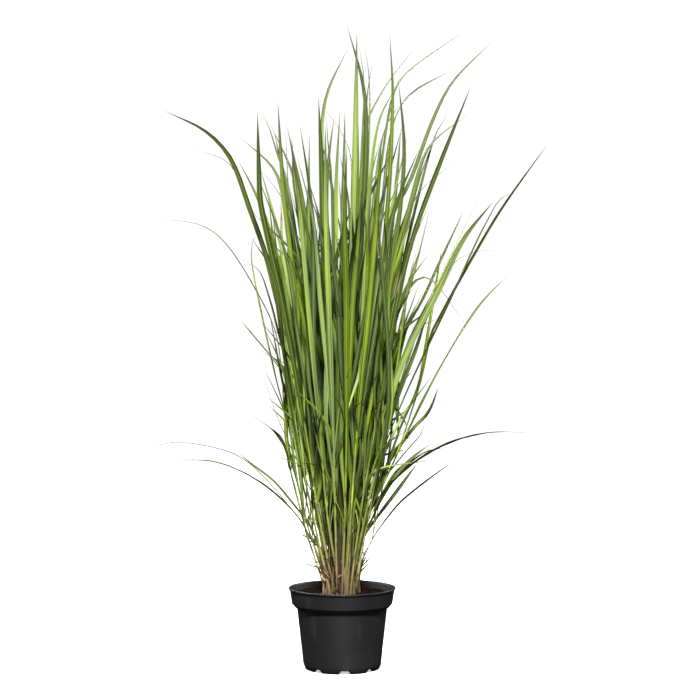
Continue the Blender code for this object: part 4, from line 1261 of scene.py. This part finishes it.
def build_shoot(culm, blades, stem, strays, order, leaf, rng):
    """One shoot: its culm with sheaths, its own blades, a tiller and the further blades."""
    top_z = culm[-1].mean(axis=0)[2]
    radius_at = culm_radii(stem, leaf.culm_radius * rng.uniform(0.86, 1.08))
    specs = own_blades(rng, leaf, stem, radius_at, blades)
    own_count = leaf.extra_leaves // 2
    specs += further_blades(rng, leaf, stem, radius_at, top_z, own_count)
    specs += [stray_blade(rng, leaf, stem, radius_at, stray) for stray in strays]
    specs += basal_stubs(rng, leaf, stem, radius_at)
    young = tiller_of(rng, stem)
    young_radius = culm_radii(young, leaf.culm_radius * rng.uniform(0.68, 0.92))
    young_specs = further_blades(rng, leaf, young, young_radius, young[-1, 2] - 0.13,
                                 leaf.extra_leaves - own_count)
    longest = max(lengths(spec["curve"])[-1] for spec in specs + young_specs)
    batch = Batch(len(specs) + len(young_specs) + 2)
    for line, radius, mine in ((stem, radius_at, specs), (young, young_radius, young_specs)):
        sheathed_culm(batch, rng, line, radius, mine, longest)
        for spec in mine:
            add_blade(batch, leaf, spec, longest)
    return batch.mesh(f"grass_{order:02d}")


def sheathed_culm(batch, rng, stem, radius_at, specs, longest):
    """A culm with a sheath below each of its blades."""
    mouths = sorted(spec["curve"][0][2] + SHEATH_MOUTH for spec in specs)
    heights = set(np.linspace(stem[0, 2], stem[-1, 2] - 0.001, 22))
    for mouth in mouths:
        heights |= {mouth - 0.0012, mouth, mouth + 0.0006}
    heights = np.array(sorted(z for z in heights if stem[0, 2] <= z <= stem[-1, 2] - 0.001))
    path = np.stack([np.interp(heights, stem[:, 2], stem[:, axis]) for axis in range(3)], axis=1)
    radii = np.array([radius_at(z) for z in heights])
    for mouth in mouths:
        under = mouth - heights
        radii = radii + 0.00022 * (np.clip(under / 0.0012, 0.0, 1.0) * np.clip(1 - under / 0.09, 0.0, 1.0))
    tip = np.clip((stem[-1, 2] - heights) / 0.02, 0.12, 1.0)
    add_culm(batch, path, radii * tip, float(rng.uniform(0, 1)), longest)


DEAD_TIP = (0.045, 0.046, 0.024)
OLD_HUSK = (0.120, 0.062, 0.030)
RUST_SPOT = (0.16, 0.085, 0.035)
PAINTED_CLUMP_SHADE = (0.006, 0.012, 0.002)         # painted shade on blades in the inner part of the clump
STRAW_SHEATH = (0.36, 0.27, 0.115)
PINK_SHEATH = (0.30, 0.160, 0.095)
OLIVE_SHEATH = (0.250, 0.250, 0.060)
OLIVE_CULM = (0.250, 0.270, 0.070)
SHEATH_STAIN = (0.060, 0.032, 0.016)
# painted shade on culms in the inner part of the clump
PAINTED_CULM_SHADE = (0.012, 0.010, 0.005)
# painted shade on culms just above the mix
PAINTED_FOOT_SHADE = (0.030, 0.018, 0.009)


def living_blade(n, leaf, mark, veins):
    """A blade's green by its tone, with patches, veins, streaks, dark margins, midrib and pale foot."""
    tone, along, across = mark["tone"], mark["along"], mark["across"]
    deep, green, fresh = tuple(leaf.deep), tuple(leaf.green), tuple(leaf.fresh)
    pale = tuple(0.55 * a + 0.45 * b for a, b in zip(leaf.fresh, leaf.straw))
    colour = n.mix(n.spread(tone, 0.05, 0.38, kind="LINEAR"), deep, green)
    colour = n.mix(n.spread(tone, 0.38, 0.68, kind="LINEAR"), colour, fresh)
    colour = n.mix(n.spread(tone, 0.74, 0.86), colour, tuple(leaf.grey))
    patch = n.spread(n.noise(22.0, 3.0, n.here((1, 1, 0.25))), 0.35, 0.75, 0.0, 0.36)
    colour = n.mix(n.times(patch, n.spread(tone, 0.15, 0.45)), colour, fresh)
    colour = n.mix(n.spread(veins, -1.0, 1.0, 0.0, 0.20, "LINEAR"), colour, deep)
    lengthwise = n.add("CombineXYZ")
    n.put(lengthwise, "X", n.times(across, 2.6))
    n.put(lengthwise, "Y", n.times(along, 2.0))
    n.put(lengthwise, "Z", n.times(n.plus(tone, mark["dry"]), 37.0))
    streak = n.noise(1.0, 3.0, lengthwise.outputs[0], 0.65)
    colour = n.mix(n.spread(streak, 0.50, 0.64, 0.0, 0.80), colour, deep)
    bright = n.times(n.spread(streak, 0.48, 0.36, 0.0, 0.55), n.spread(tone, 0.18, 0.45))
    colour = n.mix(bright, colour, fresh)
    from_midrib = n.maths("ABSOLUTE", across)
    colour = n.mix(n.spread(from_midrib, 0.74, 0.98, 0.0, 0.72), colour, deep)
    colour = n.mix(n.times(n.spread(from_midrib, 0.0, 0.13, 1.0, 0.0), 0.42), colour, pale)
    colour = n.mix(n.spread(along, 0.0, 0.16, 0.55, 0.0), colour, pale)
    return n.mix(n.spread(along, 0.72, 1.0, 0.0, 0.60), colour, deep)


def dried_blade(n, leaf, mark, colour):
    """The same blade dried from its tip, as far as its dryness says, and spotted with rust brown."""
    tone, dry, straw = mark["tone"], mark["dry"], tuple(leaf.straw)
    ragged = n.noise(60.0, 4.0, n.here((1, 1, 0.4)))
    edge = n.times(n.maths("ABSOLUTE", mark["across"]), 0.05)
    ripe = n.plus(n.plus(mark["along"], edge), n.times(dry, 0.28))
    ripe = n.plus(ripe, n.about_nought(ragged, 0.22))
    husk = n.mix(n.spread(tone, 0.35, 0.75), straw, OLD_HUSK)
    husk = n.mix(n.spread(dry, 1.5, 2.0), straw, husk)
    tip = n.mix(n.spread(dry, 0.45, 0.85), DEAD_TIP, husk)
    colour = n.mix(n.spread(ripe, 0.95, 1.10), colour, tip)
    spots = n.spread(n.noise(170.0, 2.0, n.here((1, 1, 0.5))), 0.66, 0.76)
    return n.mix(n.times(spots, n.spread(dry, 0.15, 0.6, 0.0, 0.55)), colour, RUST_SPOT)


def blade_material(leaf, slot):
    """A grass blade: veined green with a pale midrib, dry towards its tip, light showing through it."""
    n = Nodes(slot)
    mark = {name: n.attribute(name) for name in ("tone", "along", "across", "dry", "under", "deep")}
    tone, under, deep = mark["tone"], mark["under"], mark["deep"]
    veins = n.maths("SINE", n.times(mark["across"], 42.0))
    colour = dried_blade(n, leaf, mark, living_blade(n, leaf, mark, veins))
    colour = n.mix(n.times(under, 0.20), colour, tuple(leaf.grey))
    # painted shade: blades darkened towards the clump's core
    colour = n.mix(n.spread(deep, 0.03, 0.62, 0.0, 0.90), colour, PAINTED_CLUMP_SHADE)
    rough = n.plus(0.47, n.times(under, 0.14))
    face = n.principled(colour, rough, n.bump(veins, 0.22, 0.00012), Specular_IOR_Level=0.20)
    through = n.add("BsdfTranslucent")
    # painted shade here too: the light showing through is brightened on outer blades and not in the clump's
    # core
    lit = n.times(n.spread(deep, 0.0, 0.6, 0.45, 0.0), n.spread(tone, 0.15, 0.40, 0.2, 1.0))
    n.link(n.mix(lit, colour, tuple(min(1.0, c * 1.9) for c in leaf.fresh)), through.inputs["Color"])
    join = n.add("MixShader")
    glow = n.times(n.spread(tone, 0.30, 0.56), n.spread(tone, 0.74, 0.86, 1.0, 0.0))
    n.put(join, "Fac", n.spread(glow, 0.0, 1.0, 0.10, 0.40, "LINEAR"))
    n.link(face, join.inputs[1])
    n.link(through.outputs["BSDF"], join.inputs[2])
    return n.finish(join.outputs["Shader"])


def culm_material(leaf):
    """Culms and sheaths: straw and pinkish tan at the foot, olive to green above, finely ribbed."""
    n = Nodes("grass_culm")
    tone = n.attribute("tone")
    split = n.add("SeparateXYZ")
    n.link(n.here(), split.inputs[0])
    height = split.outputs["Z"]
    level = n.plus(height, n.about_nought(n.noise(38.0, 3.0, n.here((1, 1, 0.3))), 0.06))
    level = n.plus(level, n.times(n.maths("SUBTRACT", 0.5, tone), 0.035))
    sheath = n.mix(n.spread(tone, 0.25, 0.45), STRAW_SHEATH, PINK_SHEATH)
    sheath = n.mix(n.spread(tone, 0.62, 0.80), sheath, OLIVE_SHEATH)
    colour = n.mix(n.spread(level, 0.165, 0.225), sheath, OLIVE_CULM)
    upper = n.mix(tone, tuple(leaf.green), tuple(leaf.fresh))
    colour = n.mix(n.spread(level, 0.215, 0.330), colour, upper)
    ribs = n.maths("SINE", n.times(n.attribute("across"), 66.0))
    colour = n.mix(n.spread(ribs, -1.0, 1.0, 0.0, 0.22, "LINEAR"), colour, tuple(leaf.deep))
    stain = n.spread(n.noise(120.0, 3.0, n.here((1, 1, 0.35))), 0.54, 0.70, 0.0, 0.72)
    colour = n.mix(stain, colour, SHEATH_STAIN)
    # painted shade: culms darkened towards the clump's core
    colour = n.mix(n.spread(n.attribute("deep"), 0.02, 0.40, 0.0, 0.92), colour, PAINTED_CULM_SHADE)
    # painted shade: culms darker towards the mix
    colour = n.mix(n.spread(height, 0.138, 0.185, 0.55, 0.0), colour, PAINTED_FOOT_SHADE)
    return n.finish(n.principled(colour, 0.5, n.bump(ribs, 0.3, 0.00015), Specular_IOR_Level=0.4))


class GRASS_OT_leaves(bpy.types.Operator):
    """Grow every shoot's blades and sheaths along its own culm in the frame"""

    bl_idname = "grass.leaves"
    bl_label = "Grass Shoots"

    def execute(self, context):
        leaf = context.scene.grass_leaf
        culms = culm_material(leaf)
        blades = {}
        shoots = []
        for node in SHOOT_NODES:
            culm, own = read_shoot(node)
            tall = own[0][-1].mean(axis=0)[2] > TALL_TIP
            stem = stem_of(culm, own, culm[-1].mean(axis=0)[2] + (0.15 if tall else 0.03))
            shoots.append((culm, own, stem))
        strays = share_strays([stem for _, _, stem in shoots])
        for order, node in enumerate(SHOOT_NODES, 1):
            rng = np.random.default_rng(leaf.seed * 1000 + order)
            culm, own, stem = shoots[order - 1]
            slot = SHOOT_SLOTS[node]
            if slot not in blades:
                blades[slot] = blade_material(leaf, slot)
            mesh = build_shoot(culm, own, stem, strays[order - 1], order, leaf, rng)
            add_piece(f"grass_{order:02d}", mesh, [blades[slot], culms], slot, node)
        return {"FINISHED"}


# ------------------------------------------------------------------------------------ stage

def add_light(name, place, target, size, power, spread=math.pi):
    """An area light that faces a target."""
    data = bpy.data.lights.new(name, "AREA")
    data.energy = power
    data.spread = spread
    data.shape = "RECTANGLE"
    data.size, data.size_y = size
    light = bpy.data.objects.new(name, data)
    bpy.context.scene.collection.objects.link(light)
    light.location = place
    light.rotation_euler = (Vector(target) - Vector(place)).to_track_quat("-Z", "Y").to_euler()


def surround(strength):
    """A white backdrop that lights the object more softly than it looks."""
    world = bpy.data.worlds.new("surround")
    bpy.context.scene.world = world
    world.use_nodes = True
    tree = world.node_tree
    tree.nodes.clear()
    out = tree.nodes.new("ShaderNodeOutputWorld")
    seen = tree.nodes.new("ShaderNodeBackground")
    seen.inputs["Color"].default_value = (1, 1, 1, 1)
    seen.inputs["Strength"].default_value = 1.05
    even = tree.nodes.new("ShaderNodeBackground")
    even.inputs["Color"].default_value = (0.97, 0.985, 1.0, 1)
    place = tree.nodes.new("ShaderNodeTexCoord")
    split = tree.nodes.new("ShaderNodeSeparateXYZ")
    ramp = tree.nodes.new("ShaderNodeMapRange")
    tree.links.new(place.outputs["Generated"], split.inputs[0])
    tree.links.new(split.outputs["Z"], ramp.inputs["Value"])
    for name, value in (("From Min", -0.35), ("From Max", 0.65), ("To Min", 0.02), ("To Max", strength)):
        ramp.inputs[name].default_value = value
    tree.links.new(ramp.outputs["Result"], even.inputs["Strength"])
    path = tree.nodes.new("ShaderNodeLightPath")
    mix = tree.nodes.new("ShaderNodeMixShader")
    tree.links.new(path.outputs["Is Camera Ray"], mix.inputs["Fac"])
    tree.links.new(even.outputs["Background"], mix.inputs[1])
    tree.links.new(seen.outputs["Background"], mix.inputs[2])
    tree.links.new(mix.outputs["Shader"], out.inputs["Surface"])


def floor_material():
    """Plain white studio floor that glows, faintly near the middle and fully far off, so that it fades into
    the backdrop.
    """
    n = Nodes("studio_floor")
    face = n.principled((0.92, 0.92, 0.92), 0.9, Specular_IOR_Level=0.0)
    glow = n.add("Emission")
    far = n.add("VectorMath", operation="LENGTH")
    n.link(n.here(), far.inputs[0])
    n.put(glow, "Color", (1, 1, 1, 1))
    n.put(glow, "Strength", n.spread(far.outputs["Value"], 0.08, 0.9, 0.55, 1.05))
    join = n.add("AddShader")
    n.link(face, join.inputs[0])
    n.link(glow.outputs["Emission"], join.inputs[1])
    return n.finish(join.outputs["Shader"])


class GRASS_OT_stage(bpy.types.Operator):
    """Set up the white floor, the soft lights and the camera"""

    bl_idname = "grass.stage"
    bl_label = "Studio"

    def execute(self, context):
        scene = context.scene
        stage = scene.grass_stage
        bm = bmesh.new()
        bmesh.ops.create_grid(bm, x_segments=1, y_segments=1, size=9.0)
        mesh = mesh_from_bmesh("studio_floor", bm)
        mesh.materials.append(floor_material())
        floor = bpy.data.objects.new("studio_floor", mesh)
        scene.collection.objects.link(floor)
        floor.visible_diffuse = False
        floor.visible_glossy = False
        floor.visible_transmission = False
        middle = (0.0, 0.0, 0.55)
        add_light("key", (0.05, -2.3, 2.7), middle, (0.30, 0.30), stage.key)
        add_light("fill", (0.15, -3.1, 0.35), (0.0, 0.0, 0.25), (0.7, 0.7), stage.fill)
        add_light("top", (-1.0, 0.7, 2.6), middle, (0.6, 0.6), stage.top)
        for side in (-1, 1):
            add_light("edge_left" if side < 0 else "edge_right", (2.4 * side, 1.2, 1.5), (0.0, 0.0, 0.84),
                      (0.5, 0.5), stage.edge, math.radians(50))
        surround(stage.surround)
        data = bpy.data.cameras.new("camera")
        data.lens = stage.lens
        camera = bpy.data.objects.new("camera", data)
        scene.collection.objects.link(camera)
        camera.location = (stage.aside, -stage.distance, stage.eye)
        aim = Vector((stage.aside, 0.0, stage.aim)) - camera.location
        camera.rotation_euler = aim.to_track_quat("-Z", "Y").to_euler()
        scene.camera = camera
        scene.view_settings.view_transform = "Standard"
        return {"FINISHED"}


class GRASS_PT_panel(bpy.types.Panel):
    """Settings and steps of the potted grass."""

    bl_idname = "GRASS_PT_panel"
    bl_label = "Potted Grass"
    bl_space_type = "VIEW_3D"
    bl_region_type = "UI"
    bl_category = "Grass Pot"

    def draw(self, context):
        scene = context.scene
        for title, settings, step in (
                ("Pot", scene.grass_pot, "grass.pot"), ("Mix", scene.grass_mix, "grass.mix"),
                ("Grass", scene.grass_leaf, "grass.leaves"), ("Studio", scene.grass_stage, "grass.stage")):
            box = self.layout.box()
            box.label(text=title)
            for name in settings.__annotations__:
                box.prop(settings, name)
            box.operator(step)


SETTINGS = (("grass_pot", GrassPotSettings), ("grass_mix", GrassMixSettings),
            ("grass_leaf", GrassLeafSettings), ("grass_stage", GrassStageSettings))
CLASSES = (GRASS_OT_pot, GRASS_OT_mix, GRASS_OT_leaves, GRASS_OT_stage, GRASS_PT_panel)


def register():
    """Add the settings, steps and panel to Blender."""
    for name, kind in SETTINGS:
        bpy.utils.register_class(kind)
        setattr(bpy.types.Scene, name, PointerProperty(type=kind))
    for kind in CLASSES:
        bpy.utils.register_class(kind)


def unregister():
    """Take them away again."""
    for kind in reversed(CLASSES):
        bpy.utils.unregister_class(kind)
    for name, kind in reversed(SETTINGS):
        delattr(bpy.types.Scene, name)
        bpy.utils.unregister_class(kind)


def main():
    """Build the object and its studio."""
    register()
    bpy.ops.grass.pot()
    bpy.ops.grass.mix()
    bpy.ops.grass.leaves()
    bpy.ops.grass.stage()


if __name__ == "__main__":
    main()
